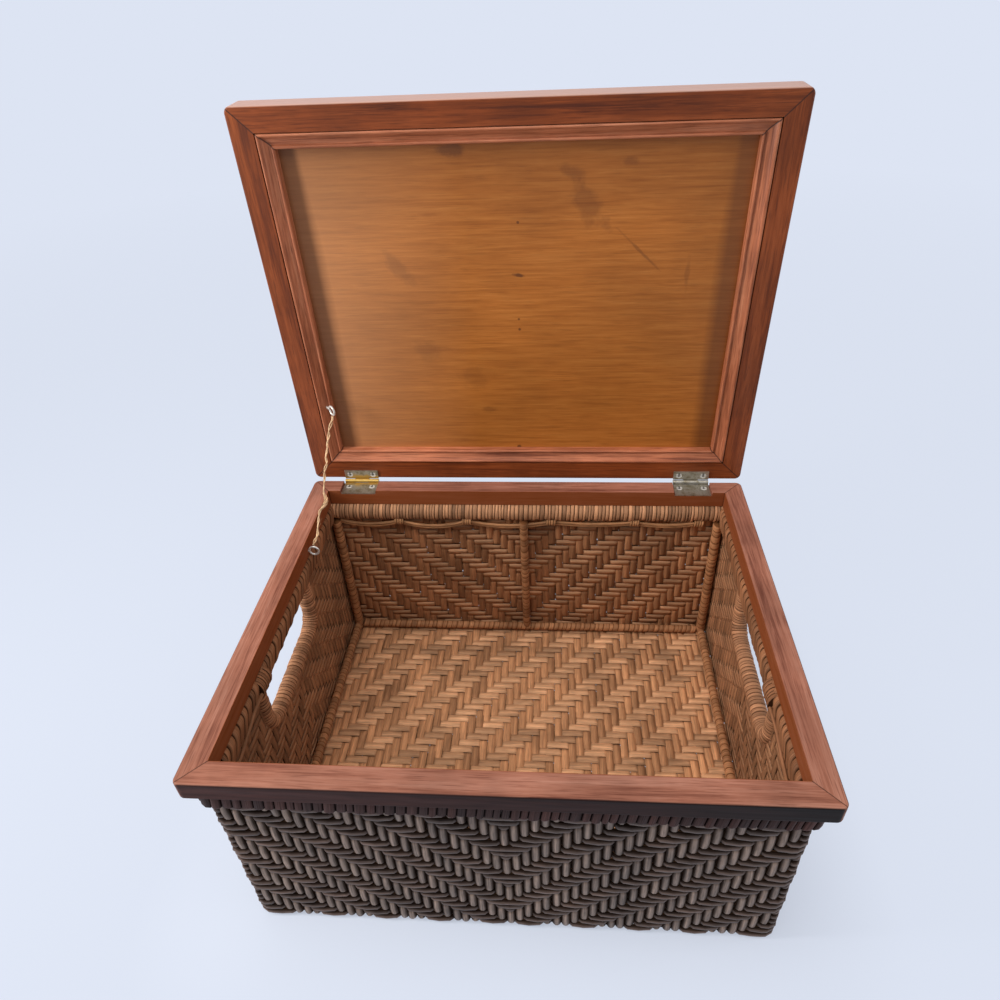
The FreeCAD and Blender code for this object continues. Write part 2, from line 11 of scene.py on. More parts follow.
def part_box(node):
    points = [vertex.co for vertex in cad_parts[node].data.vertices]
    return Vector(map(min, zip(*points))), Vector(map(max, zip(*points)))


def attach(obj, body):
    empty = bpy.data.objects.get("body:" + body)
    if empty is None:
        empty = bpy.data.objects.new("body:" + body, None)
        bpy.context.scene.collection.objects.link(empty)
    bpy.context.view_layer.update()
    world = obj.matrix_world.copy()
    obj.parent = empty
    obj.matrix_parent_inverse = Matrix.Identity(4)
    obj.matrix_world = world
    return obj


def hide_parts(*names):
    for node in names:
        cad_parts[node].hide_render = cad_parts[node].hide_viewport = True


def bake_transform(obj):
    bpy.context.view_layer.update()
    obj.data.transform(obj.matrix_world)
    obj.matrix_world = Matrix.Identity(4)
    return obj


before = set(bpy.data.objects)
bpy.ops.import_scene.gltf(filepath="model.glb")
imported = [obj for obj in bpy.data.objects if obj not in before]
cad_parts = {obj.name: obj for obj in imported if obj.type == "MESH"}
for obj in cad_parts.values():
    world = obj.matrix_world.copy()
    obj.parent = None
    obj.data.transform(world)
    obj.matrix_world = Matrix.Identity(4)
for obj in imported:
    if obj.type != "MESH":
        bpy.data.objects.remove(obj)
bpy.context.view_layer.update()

MM = 0.001

# Sizes of the solids, in millimetres
RIM_HALF_X = 200.0
RIM_HALF_Y = 160.0
RIM_BOTTOM = 171.0
RAIL_WIDTH = 17.0
BORDER_BOTTOM = 153.0
BORDER_MIDDLE = (RIM_BOTTOM + BORDER_BOTTOM) / 2
BORDER_HALF = (RIM_BOTTOM - BORDER_BOTTOM) / 2
SIDE_BORDER_HALF = 136.8
INNER_PROUD = 8.2
SIDE_INNER_PROUD = 5.2
OUTER_PROUD = 4.3
OUTER_OFFSET = 3.7
MID_X = 189.0
MID_Y = 149.0
MID_CORNER = 5.0
WALL = (MID_X, MID_Y, MID_CORNER)
INNER_X = 185.5
INNER_Y = 145.5
HOLD_FRONT = -62.5
HOLD_BACK = 53.5
HOLD_LOW = 104.5
HOLD_TURN = 18.5
HOLD_RISE = BORDER_BOTTOM + 2.0 - HOLD_LOW - HOLD_TURN
HOLD_FLAT = HOLD_BACK - HOLD_FRONT - 2 * HOLD_TURN
ROLL_RADIUS = 6.5
ROD_RADIUS = 4.0
PIN_Y = 162.2
PIN_Z = 184.4
OPEN_ANGLE = 88.0
HINGE_X = 155.0
SCREW_OFF = 11.0
BASE_SCREW = 8.7
LID_SCREW = 6.6
PANEL_Y = 167.0

# Weave
STAKE_PITCH = 6.7
FRONT_STAKES = 27
SIDE_STAKES = 21
ROW_PITCH = 6.2
ROW_FIRST = 4.6
ROWS = 25
FLOOR_MID = 3.3
FOOT_RADIUS = 1.8
STRAND_TOP = 160.0
TWILL = 6
SWING = 1.75
STRAND_THICK = 3.1
STAKE_WIDTH = 6.75
CORNER_STAKE_WIDTH = 6.6
ROW_WIDTH = 6.2

# How a strand dives between crossings whose heights differ enough: from where, over what share, in how many steps
DIVE_LEAST = 0.8
DIVE_FROM = 0.15
DIVE_SPAN = 0.7
DIVE_STEPS = 5
LEVEL_STEPS = 2
PINCH = 0.05
FIBRE_WIDTH = 6.3

# How far strands stand out on the outside of the walls, and in on the inside, as shares of their swing
STAKE_PROUD = 0.86
ROW_PROUD = 1.12
INSIDE = 0.8
SIDE_WALL_INSIDE = 0.5
SIDE_WALL_SLIM = 0.93

# The mat on the lid, drawn with the lid shut
MAT_HALF_X = 182.2
MAT_HALF_Y = 142.2
MAT_LEVEL = 203.3
MAT_COLUMNS = 26
MAT_LINES = 20
MAT_SWING = 0.85
MAT_THICK = 2.8

ENDS = (("front", -1), ("back", 1))
FLANKS = (("left", -1), ("right", 1))
SIDES = ("front", "back", "left", "right")
QUARTER = math.pi / 2
ANY_TURN = 6.28

rng = random.Random(11)


# Meshes

def linked(name, data):
    """A new object in the scene."""
    item = bpy.data.objects.new(name, data)
    bpy.context.scene.collection.objects.link(item)
    return item


class Sheaf:
    """Gathers many tubes into one mesh, with values at its points for the materials."""

    # Light or dark, mix of two colours, round side or flat, places along and across the fibres, dirt and painted shade
    NAMES = ("tone", "kind", "outer", "along", "across", "dark")

    def __init__(self):
        self.points, self.faces, self.count = [], [], 0
        self.values = {name: [] for name in self.NAMES}

    def tube(self, rings, loop=False, **values):
        """Adds a tube from rings of points, shaped (rings, points round, 3)."""
        n, m = rings.shape[:2]
        along = np.arange(n if loop else n - 1)
        here = along[:, None] * m
        there = ((along + 1) % n)[:, None] * m
        col = np.arange(m)
        nxt = (col + 1) % m
        quads = np.stack([here + col, here + nxt, there + nxt, there + col], -1).reshape(-1, 4)
        flat = rings.reshape(-1, 3)
        a, b, c = (flat - flat.mean(0))[quads[:, :3]].transpose(1, 0, 2)
        inside_out = (a * np.cross(b, c)).sum() < 0
        caps = np.stack([col[::-1], (n - 1) * m + col])
        for faces in [quads] if loop else [quads, caps]:
            self.faces += ((faces[:, ::-1] if inside_out else faces) + self.count).tolist()
        self.points.append(flat)
        for name in self.NAMES:
            value = np.asarray(values.get(name, 0.0), dtype=float)
            if value.ndim == 1 and len(value) != m:
                value = value[:, None]
            self.values[name].append(np.broadcast_to(value, (n, m)).reshape(-1))
        self.count += n * m

    def mesh(self, name, material):
        """The tubes as one smooth mesh in metres, with the values at its points."""
        mesh = bpy.data.meshes.new(name)
        mesh.from_pydata((np.concatenate(self.points) * MM).tolist(), [], self.faces)
        for key, parts in self.values.items():
            layer = mesh.attributes.new(key, "FLOAT", "POINT")
            layer.data.foreach_set("value", np.concatenate(parts).astype(np.float32))
        mesh.polygons.foreach_set("use_smooth", [True] * len(mesh.polygons))
        mesh.materials.append(material)
        mesh.update()
        return mesh

    def piece(self, name, body, slot, material, replaced=()):
        """Turns the tubes into an object that rides on a body."""
        piece = linked(name, self.mesh(name, material))
        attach(piece, body)
        if replaced:
            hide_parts(*replaced)


# A split strand: flat on the inside of the basket, round on the outside. Across and outward, for width and thickness 1.
SPLIT = np.array([(-0.485, -0.14), (-0.34, 0.24), (-0.13, 0.50), (0.13, 0.50),
                  (0.34, 0.24), (0.485, -0.14), (0.50, -0.44), (-0.50, -0.44)])
# How far each of its points belongs to the round side, and how much dirt and painted shade darken it there
SPLIT_OUTER = np.array([0.6, 1.0, 1.0, 1.0, 1.0, 0.6, 0.0, 0.0])
SPLIT_EDGE = np.array([1.0, 0.80, 0.0, 0.0, 0.80, 1.0, 0.04, 0.04])


def softened(levels, loop):
    """Lets the middle of each float stand out further than its ends."""
    padded = np.pad(levels, 1, "wrap" if loop else "edge")
    beside = padded[:-2] + padded[2:]
    return np.where(levels > 0, 0.70 * levels + 0.15 * beside, 0.90 * levels + 0.05 * beside)


def woven_line(stops, levels, total=None):
    """Places along a strand and its height there, from the heights at its crossings."""
    loop = total is not None
    levels = softened(np.asarray(levels, float), loop)
    places, heights = [], []
    last = len(stops) if loop else len(stops) - 1
    for i in range(last):
        start, end = stops[i], stops[(i + 1) % len(stops)]
        if end < start:
            end += total
        low, high = levels[i], levels[(i + 1) % len(levels)]
        steps = DIVE_STEPS if abs(high - low) > DIVE_LEAST else LEVEL_STEPS
        for step in range(steps):
            t = step / steps
            dive = min(max((t - DIVE_FROM) / DIVE_SPAN, 0.0), 1.0)
            places.append(start + (end - start) * t)
            heights.append(low + (high - low) * dive * dive * (3 - 2 * dive))
    if not loop:
        places.append(stops[-1])
        heights.append(levels[-1])
    return np.array(places), np.array(heights)


def strand(sheaf, points, outs, side, heights, places, width, thick, kind, tone, loop=False, inside=INSIDE, proud=1.0):
    """Sweeps a split strand along a woven line; its edges and where it dives are darkened with dirt and painted shade.
    """
    pinch = 1.0 - PINCH * (1.0 - np.minimum(np.abs(heights), 1.0))
    centre = points + outs * (np.where(heights < 0, heights * inside, heights * proud) * SWING)[:, None]
    across = SPLIT[:, 0] * (width * pinch)[:, None]
    up = SPLIT[:, 1] * thick
    rings = centre[:, None, :] + np.array(side) * across[..., None] + outs[:, None, :] * up[..., None]
    # dirt and painted shade: the outer side where the strand dives under others, and the inner side where it lies back,
    # are darkened
    sunk_outside = np.clip((0.35 - heights) / 0.9, 0, 1)[:, None] * SPLIT_OUTER
    sunk_inside = np.clip((heights + 0.55) / 0.8, 0, 1)[:, None] * (1 - SPLIT_OUTER)
    dark = np.clip(SPLIT_EDGE + 0.9 * sunk_outside + 0.25 * sunk_inside, 0, 1)
    sheaf.tube(rings, loop, tone=tone, kind=kind, outer=SPLIT_OUTER, along=places / 10,
               across=SPLIT[:, 0] * FIBRE_WIDTH, dark=dark)


def ring_walk(s, half_x, half_y, radius):
    """Place and outward direction on a rounded rectangle, walked from the middle of its front towards +X."""
    reaches = (half_x - radius, half_y - radius)
    s = (s + reaches[0]) % ring_length(half_x, half_y, radius)
    points, outs = np.zeros((2, len(s), 3))
    start = 0.0
    for side, (x, y) in enumerate(((1, 0), (0, 1), (-1, 0), (0, -1))):
        ahead, out = np.array((x, y, 0.0)), np.array((y, -x, 0.0))
        reach, across = reaches[side % 2], reaches[1 - side % 2]
        on = s >= start
        t = s[on, None] - start
        turn = np.clip((t - 2 * reach) / radius, 0, QUARTER)
        outs[on] = np.cos(turn) * out + np.sin(turn) * ahead
        points[on] = (np.minimum(t, 2 * reach) - reach) * ahead + across * out + radius * outs[on]
        start += 2 * reach + radius * QUARTER
    return points, outs


def ring_length(half_x, half_y, radius):
    return 4 * (half_x + half_y - 2 * radius) + 2 * math.pi * radius


def stake_outside(row, index):
    """The wall's twill: which of a stake and a row lies outside where they cross."""
    return (row - index) % TWILL < TWILL // 2


def on_top(along_x, own, other):
    """The twill of the floor and the mat: whether a strand lies on top of the other where they cross."""
    lies = (own - other if along_x else other - own) % TWILL < TWILL // 2
    return lies == along_x


def side_index(j):
    """The side walls carry the twill's count on from the front, past the corner stake, up to their middle."""
    return FRONT_STAKES + 2 + SIDE_STAKES - abs(j)


def row_height(row):
    return ROW_FIRST + ROW_PITCH * row


def hold_bend(left):
    """How far the hand-hold's rounded corner has turned in, from what is left of its turn."""
    return HOLD_TURN - math.sqrt(HOLD_TURN ** 2 - max(left, 0.0) ** 2)


def wall_top(y):
    """How high a side-wall stake goes: to the border, or into the roll of the hand-hold."""
    inside = min(y - HOLD_FRONT, HOLD_BACK - y)
    return HOLD_LOW + hold_bend(HOLD_TURN - inside) if inside > 0 else STRAND_TOP


def bent(places, half):
    """Place across and up, and outward direction, on a strand that runs under the floor and up both walls."""
    flat = half - FOOT_RADIUS
    arc = FOOT_RADIUS * QUARTER
    reach = np.abs(places)
    sign = np.sign(places)
    angle = np.clip((reach - flat) / FOOT_RADIUS, 0, QUARTER)
    out = np.minimum(reach, flat) + FOOT_RADIUS * np.sin(angle)
    up = FLOOR_MID + FOOT_RADIUS * (1 - np.cos(angle)) + np.maximum(reach - flat - arc, 0)
    return sign * out, up, sign * np.sin(angle), -np.cos(angle)


def wall_place(z, half):
    """The place along such a strand at a height on its wall."""
    return half - FOOT_RADIUS + FOOT_RADIUS * QUARTER + z - FLOOR_MID - FOOT_RADIUS


def laid(along_x, own, other, up):
    """Places or directions of a strand, from those along it, across it and up."""
    return np.stack((own, other, up) if along_x else (other, own, up), -1)


def stakes(sheaf, along_x):
    """One family of the basket's long strands: up one wall, under the floor and up the other wall."""
    half = MID_X if along_x else MID_Y
    own = SIDE_STAKES if along_x else FRONT_STAKES
    crossed = FRONT_STAKES if along_x else SIDE_STAKES
    for j in range(-own, own + 1):
        at = STAKE_PITCH * j
        top = wall_top(at) if along_x else STRAND_TOP
        index = side_index(j) if along_x else abs(j)
        rows = [row for row in range(ROWS) if row_height(row) < top - 2]
        wall = [(wall_place(row_height(row), half), 1.0 if stake_outside(row, index) else -1.0) for row in rows]
        wall.append((wall_place(top, half), wall[-1][1] * 0.3))
        floor = [(STAKE_PITCH * i, -1.0 if on_top(along_x, j, i) else 1.0) for i in range(-crossed, crossed + 1)]
        line = [(-s, h) for s, h in reversed(wall)] + floor + wall
        places, heights = woven_line([s for s, _ in line], [h for _, h in line])
        own_way, up, out_own, out_up = bent(places, half)
        phase = rng.uniform(0, ANY_TURN)
        drift = at + rng.uniform(-0.3, 0.3) + 0.3 * np.sin(places / rng.uniform(18, 34) + phase)
        points = laid(along_x, own_way, drift, up)
        outs = laid(along_x, out_own, np.zeros_like(places), out_up)
        on_wall = np.abs(places) > half
        width = STAKE_WIDTH * rng.uniform(0.97, 1.03)
        inside = INSIDE
        if along_x:
            width = width * np.where(on_wall, SIDE_WALL_SLIM, 1.0)
            inside = np.where(on_wall, SIDE_WALL_INSIDE, INSIDE)
        strand(sheaf, points, outs, laid(along_x, 0.0, 1.0, 0.0), heights, places, width, STRAND_THICK,
               0.75 if along_x else 0.0, rng.random(), inside=inside, proud=np.where(on_wall, STAKE_PROUD, 1.0))


def corner_stakes(sheaf):
    """One upright strand in each corner, between the stakes of two walls."""
    arc = MID_CORNER * QUARTER
    first = MID_X - MID_CORNER + arc / 2
    total = ring_length(*WALL)
    for at in (first, total / 2 - first, total / 2 + first, total - first):
        foot, out = ring_walk(np.array([at]), *WALL)
        stops = [row_height(row) for row in range(ROWS)] + [STRAND_TOP]
        places, heights = woven_line(stops, [-1.0] * len(stops))
        points = np.tile(foot, (len(places), 1))
        points[:, 2] = places
        side = (-out[0, 1], out[0, 0], 0.0)
        strand(sheaf, points, out, side, heights, places, CORNER_STAKE_WIDTH, STRAND_THICK, 0.0, rng.random())


def row_stops():
    """Where the rows cross the stakes, walked round the wall, with each stake's count in the twill.

    The rows always pass outside the corner stakes, which have no count.
    """
    arc = MID_CORNER * QUARTER
    long = MID_X - MID_CORNER
    deep = MID_Y - MID_CORNER
    half_turn = long + arc + deep
    stops = []
    for turn in range(4):
        count, reach, index = (SIDE_STAKES, deep, side_index) if turn % 2 else (FRONT_STAKES, long, abs)
        wall = [(STAKE_PITCH * k, index(k)) for k in range(-count, count + 1)] + [(reach + arc / 2, None)]
        stops += [((half_turn * turn + s) % (4 * half_turn), number) for s, number in wall]
    return sorted(stops)


def stretches(keep):
    """The kept stretches of a ring that has gaps, as arrays of indices, from its first gap on."""
    first = np.flatnonzero(~keep & np.roll(keep, 1))[0]
    order = np.roll(np.arange(len(keep)), -first)
    runs = np.split(order, np.flatnonzero(np.diff(keep[order])) + 1)
    return [run for run in runs if keep[run[0]]]


def wall_rows(sheaf):
    """The basket's rows, round all four walls and parted at the hand-holds."""
    stops = row_stops()
    total = ring_length(*WALL)
    for row in range(ROWS):
        z = row_height(row)
        levels = [-1.0 if index is not None and stake_outside(row, index) else 1.0 for _, index in stops]
        places, heights = woven_line([s for s, _ in stops], levels, total)
        points, outs = ring_walk(places, *WALL)
        phase = rng.uniform(0, ANY_TURN)
        points[:, 2] = z + rng.uniform(-0.2, 0.2) + 0.3 * np.sin(places * 2 * math.pi * 23 / total + phase)
        aside, y = np.abs(points[:, 0]), points[:, 1]
        keep = np.full(len(places), True)
        if HOLD_LOW <= z <= BORDER_BOTTOM:
            reach = hold_bend(HOLD_LOW + HOLD_TURN - z)
            keep = (aside < MID_X - 1) | (y < HOLD_FRONT + reach) | (y > HOLD_BACK - reach)
        inside = np.where(aside > MID_X - 1, SIDE_WALL_INSIDE, INSIDE)
        width = ROW_WIDTH * rng.uniform(0.96, 1.03)
        tone = rng.random()
        loop = keep.all()
        for run in [np.arange(len(keep))] if loop else stretches(keep):
            strand(sheaf, points[run], outs[run], (0.0, 0.0, 1.0), heights[run], places[run], width, STRAND_THICK,
                   1.0, tone, loop, inside[run], ROW_PROUD)


def opened(points):
    """Places on the shut lid, turned about the hinge pins to the open lid."""
    turn = math.radians(-OPEN_ANGLE)
    y = points[..., 1] - PIN_Y
    z = points[..., 2] - PIN_Z
    return np.stack([points[..., 0], PIN_Y + y * math.cos(turn) - z * math.sin(turn),
                     PIN_Z + y * math.sin(turn) + z * math.cos(turn)], -1)


def lid_mat(sheaf):
    """The mat on the outside of the lid, in the same twill."""
    columns = [STAKE_PITCH * i for i in range(-MAT_COLUMNS, MAT_COLUMNS + 1)]
    lines = [STAKE_PITCH * j for j in range(-MAT_LINES, MAT_LINES + 1)]
    base = opened(np.zeros(3))
    out = opened(np.array((0.0, 0.0, 1.0))) - base
    for along_x in (True, False):
        own, crossed, end = (lines, columns, MAT_HALF_X) if along_x else (columns, lines, MAT_HALF_Y)
        side = opened(laid(along_x, 0.0, 1.0, 0.0)) - base
        for a, at in enumerate(own):
            levels = [MAT_SWING if on_top(along_x, a, b) else -MAT_SWING for b in range(len(crossed))]
            places, heights = woven_line([-end] + crossed + [end], [levels[0]] + levels + [levels[-1]])
            drift = at + rng.uniform(-0.2, 0.2) + 0.2 * np.sin(places / 31 + rng.uniform(0, ANY_TURN))
            points = opened(laid(along_x, places, drift, np.full_like(places, MAT_LEVEL)))
            strand(sheaf, points, out[None], side, heights, places, ROW_WIDTH * rng.uniform(0.96, 1.03), MAT_THICK,
                   0.8 if along_x else 0.1, rng.random())


# Wrapped bars

# Places across one turn of the strip, and how far it stands out there
WRAP_STEPS = ((0.03, 0.0), (0.16, 0.72), (0.5, 1.0), (0.84, 0.72), (0.97, 0.0))


def outward(section):
    """Outward directions at the points of a closed section."""
    ahead = np.roll(section, -1, 0) - np.roll(section, 1, 0)
    normal = np.stack([ahead[:, 1], -ahead[:, 0]], -1)
    normal /= np.linalg.norm(normal, axis=1)[:, None]
    middle = section - section.mean(0)
    return -normal if (normal * middle).sum() < 0 else normal


def ellipse(a, b, count):
    turn = np.arange(count) * 2 * math.pi / count
    return np.stack([a * np.cos(turn), b * np.sin(turn)], -1)


def wrapped(sheaf, walk, length, section, pitch, depth, lean, rough, uneven=0.3, gaps=None):
    """A strip wound round a bar. walk gives a place and two directions across for each place along the bar.

    lean slants the turns, rough and uneven vary their height and width, and gaps says how far each falls short
    of the bar's lower edge.
    """
    count = max(int(round(length / pitch)), 2)
    widths = np.array([rng.uniform(1 - uneven, 1 + uneven) for _ in range(count)])
    ends = np.concatenate([[0.0], widths.cumsum()]) * length / widths.sum()
    out = outward(section)
    tall = section[:, 1] / np.abs(section[:, 1]).max()
    t, crown = np.array(WRAP_STEPS).T
    places, heights, tones, dips = [], [], [], []
    for start, end in zip(ends, ends[1:]):
        tones.append(rng.random())
        stand = depth * rng.uniform(-rough, rough)
        step = end - start
        slip = step * rng.uniform(-0.1, 0.1)
        dips.append(gaps() if gaps else 0.0)
        places.append(start + t * step + slip * crown)
        heights.append(depth * (crown - 1) + stand * crown)
    places = np.clip(np.concatenate(places), 0, length)
    heights = np.concatenate(heights)
    tones, dips = np.repeat((tones, dips), len(crown), axis=1)
    spots = places[:, None] + lean * tall
    ways = walk(spots.reshape(-1))
    centre, one, two = (np.broadcast_to(way, (spots.size, 3)).reshape(spots.shape + (3,)) for way in ways)
    low = np.clip(-tall - 0.35, 0, 1)
    raised = heights[:, None] - dips[:, None] * low * 1.6
    a = section[:, 0] + out[:, 0] * raised
    b = section[:, 1] + out[:, 1] * raised
    rings = centre + one * a[..., None] + two * b[..., None]
    # dirt and painted shade: the edges between turns and the hollows where a turn falls short are darkened
    edges = np.tile(crown == 0, count)
    dark = np.clip(edges[:, None] + dips[:, None] * np.clip(low * 1.7, 0, 1), 0, 1)
    girth = np.linalg.norm(np.roll(section, -1, 0) - section, axis=1).cumsum()
    sheaf.tube(rings, tone=tones, outer=0.5, along=girth / 10, across=places * 1.7, dark=dark)


def straight(start, direction, one, two=(0, 0, 1)):
    """A walk along a straight bar."""
    return lambda s: (np.array(start) + s[:, None] * np.array(direction), one, two)


def wrapped_node(node, slot, material, *bar, **strip):
    """A node's wrapping, as the piece that replaces it."""
    sheaf = Sheaf()
    wrapped(sheaf, *bar, **strip)
    sheaf.piece(node + "_wraps", "base", slot, material, [node])


def loose_strand(sheaf, spine, radius, across, tone, along):
    """A thin round strand along a line, with its rings upright."""
    turn = np.arange(8) * math.pi / 4
    ring = np.cos(turn)[:, None] * np.array(across) + np.sin(turn)[:, None] * np.array((0.0, 0.0, 1.0))
    sheaf.tube(spine[:, None, :] + radius * ring, tone=tone, outer=0.5, along=along,
               across=radius * np.cos(turn))


def border_section(proud, half):
    """Section of a wrapped rod under the rim: out from the wall, and up from its middle."""
    arc = [QUARTER * t / 5 for t in range(6)]
    low = [(proud * math.sin(t), -half + proud * (1 - math.cos(t))) for t in arc]
    high = [(a, -b) for a, b in reversed(low)]
    return np.array(low + [(proud, 0.0)] + high + [(0.0, half / 2), (0.0, -half / 2)])


# Materials

def srgb(*levels):
    """A colour as seen on a screen, as linear light."""
    shares = [level / 255 for level in levels]
    return (*(v / 12.92 if v <= 0.04045 else ((v + 0.055) / 1.055) ** 2.4 for v in shares), 1.0)


class Graph:
    """Short words for the nodes of a material or the world."""

    def __init__(self, owner, output="OutputMaterial"):
        self.owner = owner
        owner.use_nodes = True
        self.tree = owner.node_tree
        self.tree.nodes.clear()
        self.output = self.node(output)

    def node(self, kind, sockets=None, **settings):
        node = self.tree.nodes.new("ShaderNode" + kind)
        for key, value in settings.items():
            setattr(node, key, value)
        for key, value in (sockets or {}).items():
            self.put(node.inputs[key], value)
        return node

    def put(self, socket, value):
        """Links a socket to another one, or to a node's first, or gives it a plain value."""
        if isinstance(value, bpy.types.Node):
            value = value.outputs[0]
        if isinstance(value, bpy.types.NodeSocket):
            self.tree.links.new(value, socket)
        else:
            socket.default_value = value

    def value(self, name):
        return self.node("Attribute", attribute_name=name).outputs["Fac"]

    def places(self):
        return self.node("TexCoord").outputs["Object"]

    def join(self, x, y, z):
        return self.node("CombineXYZ", {0: x, 1: y, 2: z})

    def split(self, vector):
        return self.node("SeparateXYZ", {0: vector}).outputs

    def math(self, operation, a, b=0.0):
        return self.node("Math", {0: a, 1: b}, operation=operation)

    plus = partialmethod(math, "ADD")
    minus = partialmethod(math, "SUBTRACT")
    times = partialmethod(math, "MULTIPLY")
    most = partialmethod(math, "MAXIMUM")
    least = partialmethod(math, "MINIMUM")
    size = partialmethod(math, "ABSOLUTE")

    def distance(self, a, b):
        return self.math("SQRT", self.plus(self.times(a, a), self.times(b, b)))

    def noise(self, vector, scale, detail, roughness, distortion=0.0):
        """Soft noise, with one scale or one for each axis."""
        if isinstance(scale, tuple):
            vector, scale = self.node("Mapping", {"Vector": vector, "Scale": scale}), 1.0
        sockets = dict(Vector=vector, Scale=scale, Detail=detail, Roughness=roughness, Distortion=distortion)
        return self.node("TexNoise", sockets).outputs["Fac"]

    def ramp(self, factor, *stops):
        node = self.node("ValToRGB", {0: factor})
        ramp = node.color_ramp
        while len(ramp.elements) < len(stops):
            ramp.elements.new(0.5)
        for element, (place, colour) in zip(ramp.elements, stops):
            element.position = place
            element.color = colour
        return node.outputs["Color"]

    def mix(self, factor, a, b, blend="MIX"):
        node = self.node("Mix", data_type="RGBA", blend_type=blend, clamp_factor=True)
        self.put(node.inputs["Factor"], factor)
        self.put(node.inputs[6], a)
        self.put(node.inputs[7], b)
        return node.outputs[2]

    def span(self, value, low, high, to_low=0.0, to_high=1.0):
        sockets = {"Value": value, "From Min": low, "From Max": high, "To Min": to_low, "To Max": to_high}
        return self.node("MapRange", sockets)

    def vary(self, noise, low, high):
        """A noise's usual range, as another range."""
        return self.span(noise, 0.3, 0.7, low, high)

    def shaded(self, colour, level):
        """A colour times a level of grey."""
        return self.mix(1.0, colour, self.join(level, level, level), "MULTIPLY")

    def seen(self):
        """Whether a ray comes from the camera, or by way of glass or a shiny face."""
        ways = self.node("LightPath").outputs
        return self.most(self.most(ways["Is Camera Ray"], ways["Is Transmission Ray"]), ways["Is Glossy Ray"])

    def bump(self, height, strength, distance):
        return self.node("Bump", {"Height": height, "Strength": strength, "Distance": distance})

    def surface(self, **sockets):
        shader = self.node("BsdfPrincipled")
        for key, value in sockets.items():
            self.put(shader.inputs[key.replace("_", " ")], value)
        self.put(self.output.inputs["Surface"], shader)
        return self.owner


def rattan(name, outside, inside, groove, spread=0.5, walls=0.0, polish=0.0):
    """Split rattan: pairs of colours for its two kinds of strand outside and inside, with fibres along it.

    spread is how far strands differ in tone, walls how much painted shade darkens the walls inside, more on the side
    walls, groove the colour of the dirt and painted shade in the crevices, and polish the sheen of the strands' round
    side.
    """
    g = Graph(bpy.data.materials.new(name))
    tone, kind, outer, along, across, dirt_and_shade = (g.value(key) for key in Sheaf.NAMES)
    lengthwise = g.join(g.times(along, 0.55), g.times(across, 0.85), g.times(tone, 91.0))
    fibre = g.noise(lengthwise, 1.0, 4.0, 0.65)
    streak = g.noise(lengthwise, (0.5, 0.45, 1.0), 2.0, 0.5)
    cloud = g.noise(g.places(), 19.0, 3.0, 0.6)
    x, _, z = g.split(g.places())
    # painted shade: the walls inside, above the floor, are darkened towards a deep orange, more on the side walls
    aside = g.span(g.size(x), 0.1825, 0.1845, walls, walls * 1.35)
    colour = g.mix(g.times(g.span(z, 0.006, 0.016), aside), g.mix(kind, *inside), srgb(88, 36, 4))
    colour = g.mix(outer, colour, g.mix(kind, *outside))
    level = g.plus(g.times(tone, spread), 1.0 - spread / 2)
    swell = g.plus(g.times(outer, 0.24), 0.31)
    level = g.times(level, g.plus(g.times(g.vary(fibre, -1.0, 1.0), swell), 0.97))
    level = g.times(level, g.vary(streak, 0.86, 1.12))
    level = g.times(level, g.vary(cloud, 0.76, 1.20))
    # dirt and painted shade: strand edges, crevices and dives are darkened towards the groove colour
    colour = g.mix(g.times(dirt_and_shade, 0.95), g.shaded(colour, level), groove)
    clean_and_lit = g.minus(1.0, dirt_and_shade)
    skin = g.times(g.times(outer, clean_and_lit), polish)
    rough, gloss = 0.62, 0.2
    shine = g.minus(g.vary(fibre, rough + 0.12, rough - 0.08), g.times(skin, 0.5))
    return g.surface(Base_Color=colour, Roughness=shine, Specular_IOR_Level=g.plus(g.times(clean_and_lit, gloss), skin),
                     Normal=g.bump(fibre, 0.5, 0.0005))


def wrap(name, colour, groove, spread):
    """Rattan strips of one colour."""
    return rattan(name, (colour, colour), (colour, colour), groove, spread)


def wood(name, axis, light, mid, dark, edges, shine=0.42, gloss=0.3):
    """Stained wood with its grain along one axis of the frame."""
    g = Graph(bpy.data.materials.new(name))
    place = g.places()
    stretch = tuple(15.0 if key == axis else 380.0 for key in "XYZ")
    grain = g.noise(place, stretch, 5.0, 0.66, 0.6)
    wide = g.noise(place, tuple(v * 0.2 for v in stretch), 3.0, 0.5, 0.9)
    pores = g.noise(place, tuple(v * 3.0 for v in stretch), 2.0, 0.5)
    cloud = g.noise(place, 17.0, 4.0, 0.6)
    mixed = g.plus(g.times(grain, 0.6), g.times(wide, 0.4))
    colour = g.ramp(mixed, (0.34, dark), (0.48, mid), (0.66, light))
    colour = g.mix(g.span(pores, 0.54, 0.68, 0.0, 0.55), colour, dark)
    colour = g.shaded(colour, g.vary(cloud, 0.74, 1.16))
    colour = edges(g, place, colour)
    rough = g.vary(mixed, shine + 0.12, shine - 0.05)
    height = g.plus(g.times(grain, 0.5), g.times(pores, 0.5))
    return g.surface(Base_Color=colour, Roughness=rough, Specular_IOR_Level=gloss,
                     Normal=g.bump(height, 0.25, 0.0004))


DEEP = srgb(38, 20, 14)


def mitre(g, across, along, wide, full, deep, colour):
    """A dark line where two rails meet at a corner, from distances to the middle of the rim or the lid."""
    off = g.minus(g.minus(g.size(across), RIM_HALF_X * MM), g.minus(g.size(along), RIM_HALF_Y * MM))
    return g.mix(g.span(g.size(off), full, wide, deep, 0.0), colour, DEEP)


